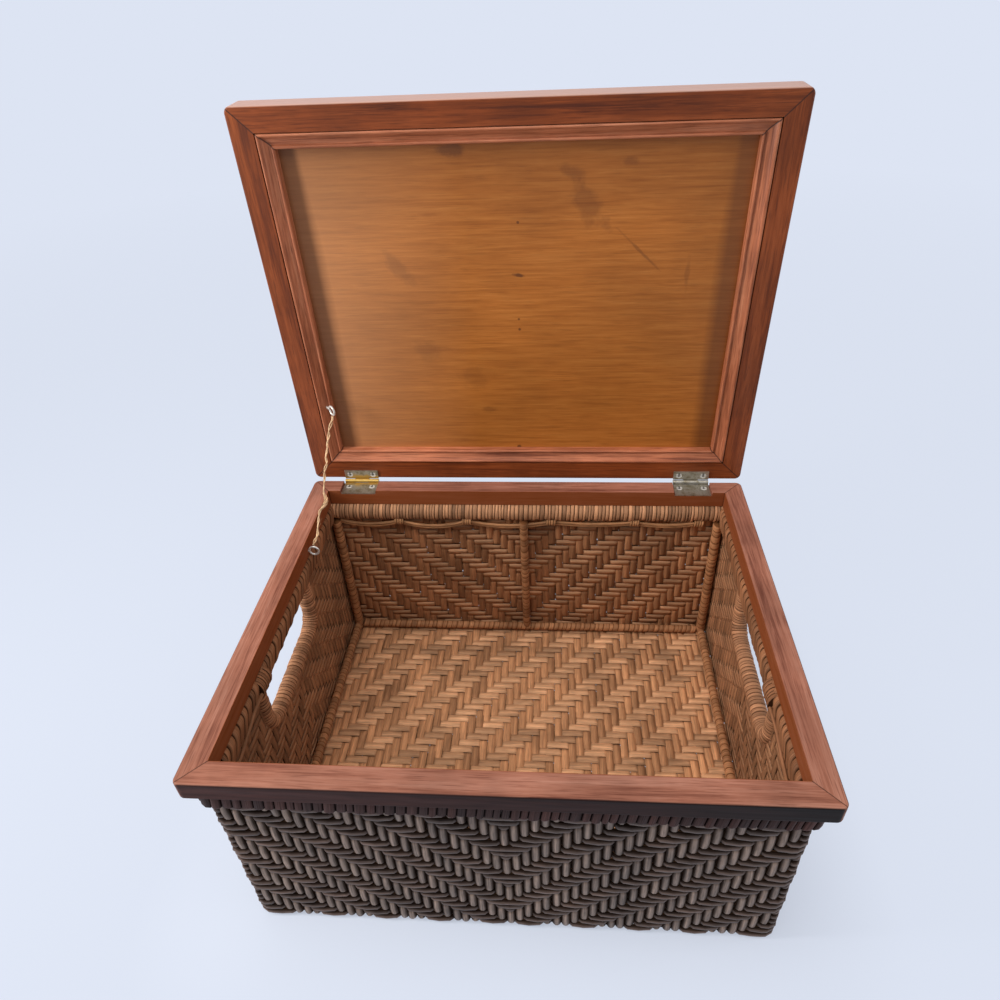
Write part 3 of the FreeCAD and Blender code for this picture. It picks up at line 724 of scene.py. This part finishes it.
def rim_faces(axis):
    """The rim's dark outer faces with painted light, lighter towards the left end and darker towards the right, its
    orange inner faces across an axis and the dark lines of its mitres.
    """
    inner_face = (RIM_HALF_X, RIM_HALF_Y)[axis] - RAIL_WIDTH

    def colours(g, place, colour):
        x, y, z = g.split(place)
        far_x, far_y = g.size(x), g.size(y)
        inside = g.span((far_x, far_y)[axis], (inner_face + 0.15) * MM, (inner_face + 0.6) * MM, 1.0, 0.0)
        colour = g.mix(g.times(inside, 0.8), colour, srgb(128, 62, 18))
        outside = g.most(g.span(far_x, (RIM_HALF_X - 0.9) * MM, (RIM_HALF_X - 0.2) * MM),
                         g.span(far_y, (RIM_HALF_Y - 0.9) * MM, (RIM_HALF_Y - 0.2) * MM))
        worn = g.noise(place, (30.0, 30.0, 260.0), 3.0, 0.6)
        stain_and_painted_light = g.mix(worn, srgb(20, 10, 8), srgb(74, 44, 40))
        stain_and_painted_light = g.mix(g.span(z, 0.1815, 0.1855, 0.0, 0.8), stain_and_painted_light, srgb(30, 19, 18))
        # painted light: the dark outer faces are lightened towards the left end and darkened towards the right
        stain_and_painted_light = g.shaded(stain_and_painted_light, g.span(x, -0.2, 0.2, 2.2, 0.15))
        colour = g.mix(outside, colour, stain_and_painted_light)
        return mitre(g, x, y, 0.0007, 0.0002, 0.75, colour)

    return colours


def lid_reach(g, place):
    """Distance of a point of the open lid from the middle of the lid, along its sides."""
    _, y, z = g.split(place)
    turn = math.radians(-OPEN_ANGLE)
    along = g.plus(g.times(g.minus(y, PIN_Y * MM), math.cos(turn)),
                   g.times(g.minus(z, PIN_Z * MM), math.sin(turn)))
    return g.plus(along, PIN_Y * MM)


def lid_mitres_and_edge_highlight(g, place, colour):
    """The lid's front edge with a painted pale highlight, and dark lines where its rails and mouldings meet at their
    corners.
    """
    reach = lid_reach(g, place)
    # painted highlight: the lid's front edge, which faces up when the lid is open, is painted pale
    colour = g.mix(g.span(reach, -0.1598, -0.1590, 0.85, 0.0), colour, srgb(204, 164, 148))
    return mitre(g, g.split(place)[0], reach, 0.0009, 0.0003, 0.85, colour)


# Marks on the lid's panel: middle across and up and half sizes in millimetres, turn in degrees, depth of the stain
PANEL_MARKS = (
    (54, 433, 19, 9, 52, 0.38), (42, 455, 10, 5, 25, 0.34), (-95, 388, 17, 6, 50, 0.34), (-81, 317, 14, 9, 20, 0.24),
    (-40, 290, 14, 10, 0, 0.22), (-44, 473, 9, 5, 0, 0.60), (83, 462, 6, 4, 0, 0.36), (94, 398, 22, 1.2, 44, 0.45),
    (-28, 257, 7, 3, 0, 0.35), (132, 378, 2.0, 12, 0, 0.30), (1, 380, 4, 1.6, 10, 0.85), (1.6, 421, 1.2, 1.2, 0, 0.85),
    (0, 343, 1.3, 1.3, 0, 0.8), (0, 334, 1.4, 1.4, 0, 0.85), (-3.7, 217, 2.2, 2.2, 0, 0.9),
)


def plywood():
    """The lid's panel: golden ply with a fine grain across, painted shadow along its sides and top, a painted
    reflection towards the left, with stains and a few marks.
    """
    g = Graph(bpy.data.materials.new("ply_panel"))
    place = g.places()
    grain = g.noise(place, (20.0, 420.0, 420.0), 5.0, 0.65, 0.4)
    fleck = g.noise(place, (60.0, 1100.0, 1100.0), 2.0, 0.5)
    broad = g.noise(place, (2.5, 14.0, 14.0), 3.0, 0.55, 0.7)
    cloud = g.noise(place, 9.0, 4.0, 0.6, 0.4)
    colour = g.ramp(grain, (0.28, srgb(158, 90, 31)), (0.5, srgb(181, 108, 43)), (0.74, srgb(198, 126, 58)))
    shade = g.times(g.vary(broad, 0.88, 1.10), g.vary(cloud, 0.86, 1.12))
    shade = g.times(shade, g.span(fleck, 0.55, 0.75, 1.0, 0.80))
    colour = g.shaded(colour, shade)
    wobble = g.vary(g.noise(place, 90.0, 3.0, 0.6), -0.4, 0.4)
    for aside, high, wide, tall, turn, depth in PANEL_MARKS:
        sockets = {"Vector": place, "Location": (aside * MM, PANEL_Y * MM, high * MM),
                   "Rotation": (0, math.radians(turn), 0), "Scale": (wide * MM, 1.0, tall * MM)}
        local = g.node("Mapping", sockets, vector_type="TEXTURE")
        away = g.node("VectorMath", {0: local}, operation="LENGTH").outputs["Value"]
        colour = g.mix(g.span(g.plus(away, wobble), 0.6, 1.2, depth, 0.0), colour, srgb(92, 48, 18))
    x, _, z = g.split(place)
    # painted reflection: the panel is paler towards its left side
    colour = g.mix(g.span(x, -0.16, -0.04, 0.36, 0.0), colour, srgb(210, 160, 122))
    # painted shadow: darker beside the side mouldings and below the top moulding
    side = g.span(g.size(x), 0.151, 0.160, 0.0, 0.6)
    painted_shadow = g.most(side, g.span(z, 0.40, 0.485, 0.0, 0.40))
    colour = g.mix(painted_shadow, colour, srgb(90, 48, 20))
    return g.surface(Base_Color=colour, Roughness=g.vary(grain, 0.50, 0.38), Specular_IOR_Level=0.4,
                     Normal=g.bump(grain, 0.12, 0.0003))


def metal(name, bright, worn, dull, shine, metallic, marks=None):
    """Plated metal, worn in patches."""
    g = Graph(bpy.data.materials.new(name))
    place = g.places()
    patch = g.noise(place, 210.0, 3.0, 0.6)
    speck = g.noise(place, 900.0, 2.0, 0.5)
    colour = g.mix(g.span(patch, 0.45, 0.65), bright, worn)
    colour = g.mix(g.span(speck, 0.60, 0.74, 0.0, 0.6), colour, dull)
    if marks:
        colour = marks(g, place, colour, patch)
    rough = g.vary(speck, shine - 0.06, shine + 0.16)
    return g.surface(Base_Color=colour, Metallic=metallic, Roughness=rough, Normal=g.bump(speck, 0.12, 0.0002))


def from_pin(g, place):
    """Distance of a point from the hinge pins."""
    _, y, z = g.split(place)
    return g.distance(g.minus(y, PIN_Y * MM), g.minus(z, PIN_Z * MM))


def brass_at_pin(g, place, colour, patch):
    """The left hinge's plating is worn to brass round the knuckles; painted shade lines lie beside the knuckles of both
    hinges.
    """
    from_middle = from_pin(g, place)
    away = g.plus(from_middle, g.vary(patch, -0.0022, 0.0022))
    brass = g.times(g.span(away, 0.0038, 0.0070, 0.9, 0.0), g.span(g.split(place)[0], -0.1, 0.1, 1.0, 0.0))
    colour = g.mix(brass, colour, srgb(196, 158, 74))
    # painted shade: a dark line along the edge of the knuckles
    line = g.span(g.size(g.minus(from_middle, 0.0026)), 0.0001, 0.0008, 0.55, 0.0)
    return g.mix(line, colour, srgb(70, 56, 34))


def screw_heads(g, place, colour, patch):
    """Bright rims and dark middles of the screw heads."""
    x = g.minus(g.size(g.split(place)[0]), HINGE_X * MM)
    off_x = g.minus(g.size(x), SCREW_OFF * MM)
    along = from_pin(g, place)
    base = g.size(g.minus(along, BASE_SCREW * MM))
    lid = g.size(g.minus(along, LID_SCREW * MM))
    away = g.distance(off_x, g.least(base, lid))
    return g.mix(g.span(away, 0.0007, 0.0013, 0.9, 0.0), colour, srgb(44, 34, 26))


# walls darkens the basket's inner walls with painted shade
WEAVE = rattan("woven_strands", (srgb(148, 124, 110), srgb(102, 80, 69)), (srgb(200, 144, 102), srgb(222, 170, 128)),
               srgb(10, 5, 4), walls=0.44, polish=0.34)
WRAP_INSIDE = wrap("wrapped_inside", srgb(174, 126, 92), srgb(44, 24, 12), 0.8)
WRAP_ROD = wrap("wrapped_rods", srgb(172, 120, 82), srgb(112, 70, 42), 0.45)
WRAP_SIDE = wrap("wrapped_side", srgb(138, 92, 62), srgb(36, 20, 12), 0.5)
WRAP_ROLL = wrap("wrapped_roll", srgb(176, 126, 92), srgb(76, 44, 28), 0.6)
WRAP_OUTSIDE = wrap("wrapped_outside", srgb(72, 44, 39), srgb(10, 5, 4), 0.9)
RUNNER = wrap("runner_strands", srgb(178, 128, 88), srgb(62, 38, 18), 0.3)
FIBRE = wrap("cord_fibres", srgb(226, 190, 150), srgb(120, 86, 48), 0.3)
RIM_COLOURS = (srgb(182, 128, 108), srgb(158, 102, 82), srgb(108, 60, 46))
RIM_X = wood("rim_wood_x", "X", *RIM_COLOURS, rim_faces(1), 0.5, 0.12)
RIM_Y = wood("rim_wood_y", "Y", *RIM_COLOURS, rim_faces(0), 0.5, 0.12)
LID_COLOURS = (srgb(158, 82, 42), srgb(130, 62, 26), srgb(82, 34, 12))
LID_X = wood("lid_wood_x", "X", *LID_COLOURS, lid_mitres_and_edge_highlight)
LID_Z = wood("lid_wood_z", "Z", *LID_COLOURS, lid_mitres_and_edge_highlight)
BEAD_COLOURS = (srgb(214, 140, 104), srgb(184, 110, 76), srgb(120, 62, 38))
BEAD_X = wood("moulding_wood_x", "X", *BEAD_COLOURS, lid_mitres_and_edge_highlight, 0.36)
BEAD_Z = wood("moulding_wood_z", "Z", *BEAD_COLOURS, lid_mitres_and_edge_highlight, 0.36)
PLY = plywood()
HINGE = metal("hinge_plate", srgb(176, 170, 156), srgb(140, 130, 108), srgb(78, 68, 54), 0.34, 0.8, brass_at_pin)
SCREW = metal("screw_plate", srgb(222, 220, 214), srgb(196, 192, 184), srgb(150, 146, 138), 0.30, 0.3, screw_heads)
EYE = metal("eye_wire", srgb(226, 222, 216), srgb(204, 198, 190), srgb(170, 160, 150), 0.30, 0.4)


# The solids that stay in view: a word in their names, and materials for those at the front or back and for the rest
PAINTS = (("rim_", RIM_X, RIM_Y), ("_rail", LID_X, LID_Z), ("_bead", BEAD_X, BEAD_Z), ("lid_panel", PLY, PLY),
          ("screws", SCREW, SCREW), ("hinge", HINGE, HINGE), ("screw_eye", EYE, EYE))


def paint():
    """Gives every solid that stays in view its material, by the first of the words that its name has."""
    for name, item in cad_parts.items():
        for word, along_x, other in PAINTS:
            if word in name:
                item.data.materials.clear()
                item.data.materials.append(along_x if "front" in name or "back" in name else other)
                break


# The basket

def weave():
    for name, along_x, walls in (("strands_front_to_back", False, ENDS), ("strands_left_to_right", True, FLANKS)):
        sheaf = Sheaf()
        stakes(sheaf, along_x)
        sheaf.piece(name, "base", "woven_rattan", WEAVE, ["weave_floor"] + [f"weave_{side}" for side, _ in walls])
    rows = Sheaf()
    wall_rows(rows)
    corner_stakes(rows)
    rows.piece("strands_round_the_walls", "base", "woven_rattan", WEAVE, [f"weave_{side}" for side in SIDES])
    mat = Sheaf()
    lid_mat(mat)
    mat.piece("lid_mat_strands", "lid", "woven_rattan", WEAVE, ["lid_weave"])


def posts():
    for name in [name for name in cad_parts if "_post_" in name]:
        low, high = (np.array(corner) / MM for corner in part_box(name))
        middle = (low + high) / 2
        radius = (high[0] - low[0]) / 2
        walk = straight((middle[0], middle[1], low[2]), (0, 0, 1), (1, 0, 0), (0, 1, 0))
        wrapped_node(name, "rod_rattan", WRAP_ROD, walk, high[2] - low[2] + 1.0, ellipse(radius, radius, 12),
                     pitch=6.0, depth=0.3, lean=2.0, rough=0.4)


def rods():
    for side in SIDES:
        low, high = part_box(f"floor_rod_{side}")
        along = 0 if side in ("front", "back") else 1
        half = (high[along] - low[along]) / 2 / MM
        start = list((Vector(low) + Vector(high)) / 2 / MM)
        start[along] -= half
        direction, across = np.eye(3)[[along, 1 - along]]
        wrapped_node(f"floor_rod_{side}", "rod_rattan", WRAP_ROD, straight(start, direction, across),
                     2 * half, ellipse(ROD_RADIUS, ROD_RADIUS, 12), pitch=5.0, depth=0.3, lean=1.2, rough=0.4)


def short_turn():
    """How far a turn of the front and back borders falls short of the lower edge: most reach it."""
    return rng.uniform(0.6, 1.6) if rng.random() < 0.27 else 0.0


def inner_borders():
    half = BORDER_HALF - 0.1
    into_wall, end_gap = 0.2, 0.3
    for side, sign in ENDS:
        walk = straight((-INNER_X + end_gap, sign * (INNER_Y - into_wall), BORDER_MIDDLE), (1, 0, 0), (0, -sign, 0))
        wrapped_node(f"border_inner_{side}", "border_rattan", WRAP_INSIDE, walk, 2 * (INNER_X - end_gap),
                     border_section(INNER_PROUD, half), pitch=3.3, depth=0.45, lean=0.4, rough=0.7, uneven=0.35,
                     gaps=short_turn)
    for side, sign in FLANKS:
        walk = straight((sign * (INNER_X - into_wall), -SIDE_BORDER_HALF, BORDER_MIDDLE), (0, 1, 0), (-sign, 0, 0))
        wrapped_node(f"border_inner_{side}", "border_rattan", WRAP_SIDE, walk, 2 * SIDE_BORDER_HALF,
                     border_section(SIDE_INNER_PROUD, half), pitch=6.8, depth=0.8, lean=5.5, rough=0.6, uneven=0.35)


def outer_border():
    around = (MID_X + OUTER_OFFSET, MID_Y + OUTER_OFFSET, MID_CORNER + OUTER_OFFSET)

    def walk(s):
        points, outs = ring_walk(s, *around)
        points[:, 2] = BORDER_MIDDLE
        return points, outs, (0, 0, 1)

    sheaf = Sheaf()
    wrapped(sheaf, walk, ring_length(*around), border_section(OUTER_PROUD, BORDER_HALF), pitch=6.2, depth=1.2,
            lean=1.2, rough=0.5)
    sheaf.piece("border_outer_wraps", "base", "border_rattan", WRAP_OUTSIDE,
                [f"border_outer_{side}" for side in SIDES])


def hold_walk(s, x):
    """Places along a hand-hold's roll, from its front end down, along and up to its back end."""
    arc = HOLD_TURN * QUARTER
    along = s - HOLD_RISE
    turn = np.clip(along / HOLD_TURN, 0, QUARTER)
    turn += np.clip((along - arc - HOLD_FLAT) / HOLD_TURN, 0, QUARTER)
    run = np.clip(along - arc, 0, HOLD_FLAT)
    past = np.maximum(along - 2 * arc - HOLD_FLAT, 0)
    second = along > arc + HOLD_FLAT / 2
    centre = np.where(second, HOLD_BACK - HOLD_TURN, HOLD_FRONT + HOLD_TURN)
    mid_run = np.where(second, run - HOLD_FLAT, run)
    y = centre + mid_run - HOLD_TURN * np.cos(turn)
    z = HOLD_LOW + HOLD_TURN - HOLD_TURN * np.sin(turn) + np.maximum(-along, 0) + past
    zero = np.zeros_like(y)
    out = np.stack([zero, -np.cos(turn), -np.sin(turn)], -1)
    return np.stack([zero + x, y, z], -1), (1, 0, 0), out


def hold_rolls():
    length = 2 * HOLD_RISE + math.pi * HOLD_TURN + HOLD_FLAT
    for side, sign in FLANKS:
        wrapped_node(f"hold_roll_{side}", "rod_rattan", WRAP_ROLL, lambda s: hold_walk(s, sign * MID_X), length,
                     ellipse(ROLL_RADIUS, ROLL_RADIUS, 18), pitch=3.2, depth=0.5, lean=0.3, rough=0.6)


def lashings():
    """A lashing round the border where each hand-hold's roll rises to it, and the loose strand that runs on."""
    length, tail, droop = 17.0, 72.0, 9.0
    t = np.linspace(0, 1, 24)
    y = HOLD_FRONT - 4.0 - tail * t
    for side, sign in FLANKS:
        sheaf = Sheaf()
        walk = straight((sign * (INNER_X - 1.0), HOLD_FRONT - 9.0, BORDER_MIDDLE), (0, 1, 0), (-sign, 0, 0))
        wrapped(sheaf, walk, length, ellipse(7.6, 8.6, 16), pitch=2.8, depth=0.6, lean=1.6, rough=0.5)
        x = sign * (INNER_X - 6.6 + 1.2 * np.sin(3.0 * t))
        spine = np.stack([x, y, BORDER_MIDDLE - 2.0 - droop * t + 1.5 * np.sin(7.0 * t)], -1)
        loose_strand(sheaf, spine, 1.5, (1.0, 0.0, 0.0), 0.4, y / 10)
        sheaf.piece(f"hold_lashing_{side}", "base", "border_rattan", WRAP_SIDE)


def runner():
    """Two loose strands in scallops under the back border, lashed to it at a few places."""
    ties = [-176.0, -119.0, -54.0, 26.0, 104.0, 163.0]
    droops = [4.5, 6.2, 5.0, 2.6, 3.0]
    level, inset, tie = 152.4, INNER_Y - 4.6, 9.0
    t = np.arange(16) / 16
    xs = np.concatenate([a + (b - a) * t for a, b in zip(ties, ties[1:])] + [ties[-1:]])
    zs = np.concatenate([level - 4 * droop * t * (1 - t) for droop in droops] + [[level]])
    sheaf = Sheaf()
    for k, radius in ((-1, 1.5), (1, 1.4)):
        spine = np.stack([xs, np.full_like(xs, inset - 0.4 * k), zs + k * 1.3], -1)
        loose_strand(sheaf, spine, radius, (0.0, 1.0, 0.0), rng.random(), xs / 10)
    for x in ties[1:]:
        walk = straight((x - tie / 2, inset, level + 0.8), (1, 0, 0), (0, 1, 0))
        wrapped(sheaf, walk, tie, ellipse(3.1, 4.4, 12), pitch=2.2, depth=0.4, lean=0.2, rough=0.25, uneven=0.0)
    sheaf.piece("runner_under_back_border", "base", "border_rattan", RUNNER)


# The stay cord

# Its route between the eyes, in metres
CORD_ROUTE = ((-0.177699, 0.070569, 0.180647), (-0.1735, 0.0805, 0.1893), (-0.1765, 0.0915, 0.1990),
              (-0.1680, 0.0990, 0.2055), (-0.1732, 0.1070, 0.2125), (-0.1722, 0.1217, 0.2255),
              (-0.1725, 0.1452, 0.2464), (-0.169429, 0.157956, 0.257887))
PLY_RADII = (0.52, 0.44, 0.36)


def cord_line():
    """The stay cord's middle line, from the points of its route."""
    curve = bpy.data.curves.new("cord_line", "CURVE")
    curve.dimensions = "3D"
    curve.resolution_u = 24
    spline = curve.splines.new("NURBS")
    spline.points.add(len(CORD_ROUTE) - 1)
    for point, place in zip(spline.points, CORD_ROUTE):
        point.co = (*place, 1.0)
    spline.order_u = 3
    spline.use_endpoint_u = True
    holder = bpy.data.objects.new("cord_line", curve)
    line = bpy.data.meshes.new_from_object(holder)
    path = np.array([vertex.co for vertex in line.vertices])
    bpy.data.objects.remove(holder)
    bpy.data.meshes.remove(line)
    return path / MM


def stay_cord():
    """Three loose plies on the route between the screw eyes, with a knot where it kinks and a few stray fibres."""
    path = cord_line()
    steps = np.linalg.norm(np.diff(path, axis=0), axis=1)
    s = np.concatenate([[0], steps.cumsum()])
    fine = np.linspace(0, s[-1], 180)
    middle = np.stack([np.interp(fine, s, path[:, i]) for i in range(3)], -1)
    ahead = np.gradient(middle, axis=0)
    ahead /= np.linalg.norm(ahead, axis=1)[:, None]
    one = np.cross(ahead, (1.0, 0.0, 0.0))
    one /= np.linalg.norm(one, axis=1)[:, None]
    two = np.cross(ahead, one)
    turn = np.arange(6) * math.pi / 3
    ring = np.cos(turn)[:, None] * one[:, None, :] + np.sin(turn)[:, None] * two[:, None, :]
    sheaf = Sheaf()

    def ply(spine, rings, along):
        sheaf.tube(spine[:, None, :] + rings, tone=rng.random(), outer=0.5, along=along, across=np.cos(turn))

    def wound(angle, at=slice(None)):
        return np.cos(angle)[:, None] * one[at] + np.sin(angle)[:, None] * two[at]

    for k, radius in enumerate(PLY_RADII):
        angle = k * 2.1 + fine * 2 * math.pi / (15.0 + 2.0 * k) + 0.8 * np.sin(fine / 7.0 + k)
        swell = 0.72 + 0.34 * np.sin(fine / (5.1 + k) + 2.0 * k)
        ply(middle + swell[:, None] * wound(angle), radius * ring, fine / 10)
    knot = int(np.argmax(middle[:len(fine) // 2, 0]))
    at = slice(knot - 12, knot + 13)
    t = np.linspace(-1, 1, 25)
    bulge = (1.25 * np.cos(t * QUARTER) + 0.3)[:, None]
    for k in range(4):
        ply(middle[at] + bulge * wound(k * 1.6 + t * 5.0, at), 0.42 * ring[at], t)
    t = np.linspace(0, 1, 7)
    for _ in range(9):
        at = rng.randrange(20, 150)
        lean = rng.uniform(0, ANY_TURN)
        aside = math.cos(lean) * one[at] + math.sin(lean) * two[at]
        onward = ahead[at] * (t * rng.uniform(5, 10))[:, None]
        spine = middle[at] + onward + aside * (t ** 1.5 * rng.uniform(2, 4))[:, None]
        ply(spine, (0.16 * (1 - 0.7 * t))[:, None, None] * ring[at], t)
    cord = linked("stay_cord_plies", sheaf.mesh("stay_cord_plies", FIBRE))
    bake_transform(cord)
    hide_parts("stay_cord")


# Studio

# The camera: yaw, pitch and roll in degrees, place in metres, sensor in millimetres
CAMERA_TURNS = (-5.172, 36.263, -2.726)
CAMERA_PLACE = (0.03520, -0.39410, 0.57727)
CAMERA_SHIFT = (-0.00835, -0.00433)
FOCAL_PIXELS = 721.66
PHOTO_PIXELS = 1000
SENSOR = 36.0
BACKDROP = srgb(221, 228, 243)


def camera():
    """The camera of the photograph."""
    yaw, pitch, roll = (math.radians(v) for v in CAMERA_TURNS)
    ahead = Vector((math.sin(yaw) * math.cos(pitch), math.cos(yaw) * math.cos(pitch), -math.sin(pitch)))
    right = Vector((math.cos(yaw), -math.sin(yaw), 0.0))
    up = right.cross(ahead)
    right, up = (right * math.cos(roll) + up * math.sin(roll), up * math.cos(roll) - right * math.sin(roll))
    data = bpy.data.cameras.new("camera")
    data.sensor_width = SENSOR
    data.lens = FOCAL_PIXELS * SENSOR / PHOTO_PIXELS
    data.shift_x, data.shift_y = CAMERA_SHIFT
    place = Matrix((right, up, -ahead)).transposed().to_4x4()
    place.translation = Vector(CAMERA_PLACE)
    item = linked("camera", data)
    item.matrix_world = place
    bpy.context.scene.camera = item


def lamp(name, place, aim, size, power, colour):
    data = bpy.data.lights.new(name, "AREA")
    data.shape = "RECTANGLE"
    data.size, data.size_y = size
    data.energy = power
    data.color = colour
    item = linked(name, data)
    item.location = place
    item.rotation_euler = (Vector(aim) - Vector(place)).to_track_quat("-Z", "Y").to_euler()


def studio():
    """Soft light, a pale backdrop for the camera and shiny faces, and a pale floor that keeps the box's shadow."""
    scene = bpy.context.scene
    scene.view_settings.view_transform = "Standard"
    scene.world = bpy.data.worlds.new("studio")
    g = Graph(scene.world, "OutputWorld")
    light = g.node("Background", {"Color": (0.92, 0.96, 1.0, 1.0), "Strength": 0.30})
    pale = g.node("Background", {"Color": BACKDROP, "Strength": 1.0})
    sky = g.node("MixShader", {0: g.seen(), 1: light, 2: pale})
    g.put(g.output.inputs["Surface"], sky)
    lamp("top", (-0.25, -0.25, 1.45), (0, 0.0, 0.12), (1.2, 1.0), 12.0, (1.0, 0.98, 0.95))
    lamp("left", (-0.92, -0.22, 0.56), (-0.05, 0.15, 0.33), (0.14, 0.6), 7.5, (1.0, 0.97, 0.93))
    lamp("right", (0.96, -0.05, 0.50), (0.10, 0.15, 0.33), (0.30, 0.6), 2.0, (1.0, 0.98, 0.96))

    mesh = bpy.data.meshes.new("floor")
    mesh.from_pydata([(-80, -80, 0), (80, -80, 0), (80, 80, 0), (-80, 80, 0)], [], [(0, 1, 2, 3)])
    floor = linked("floor", mesh)
    g = Graph(bpy.data.materials.new("studio_floor"))
    x, y, _ = g.split(g.places())
    far = g.distance(g.most(g.minus(g.size(x), MID_X * MM), 0.0), g.most(g.minus(g.size(y), MID_Y * MM), 0.0))
    lit = g.plus(g.span(far, 0.0, 0.10, 0.34, 0.0), g.span(far, 0.3, 2.2, 0.10, 0.0))
    diffuse = g.node("BsdfDiffuse", {"Color": g.mix(lit, (0.0, 0.0, 0.0, 1.0), BACKDROP)})
    glow = g.node("Emission", {"Color": BACKDROP, "Strength": g.minus(1.0, lit)})
    both = g.node("AddShader", {0: diffuse, 1: glow})
    bounce = g.node("BsdfDiffuse", {"Color": (0.42, 0.43, 0.45, 1.0)})
    final = g.node("MixShader", {0: g.seen(), 1: bounce, 2: both})
    g.put(g.output.inputs["Surface"], final)
    mesh.materials.append(g.owner)


camera()
stay_cord()
weave()
posts()
rods()
inner_borders()
outer_border()
hold_rolls()
lashings()
runner()
paint()
studio()
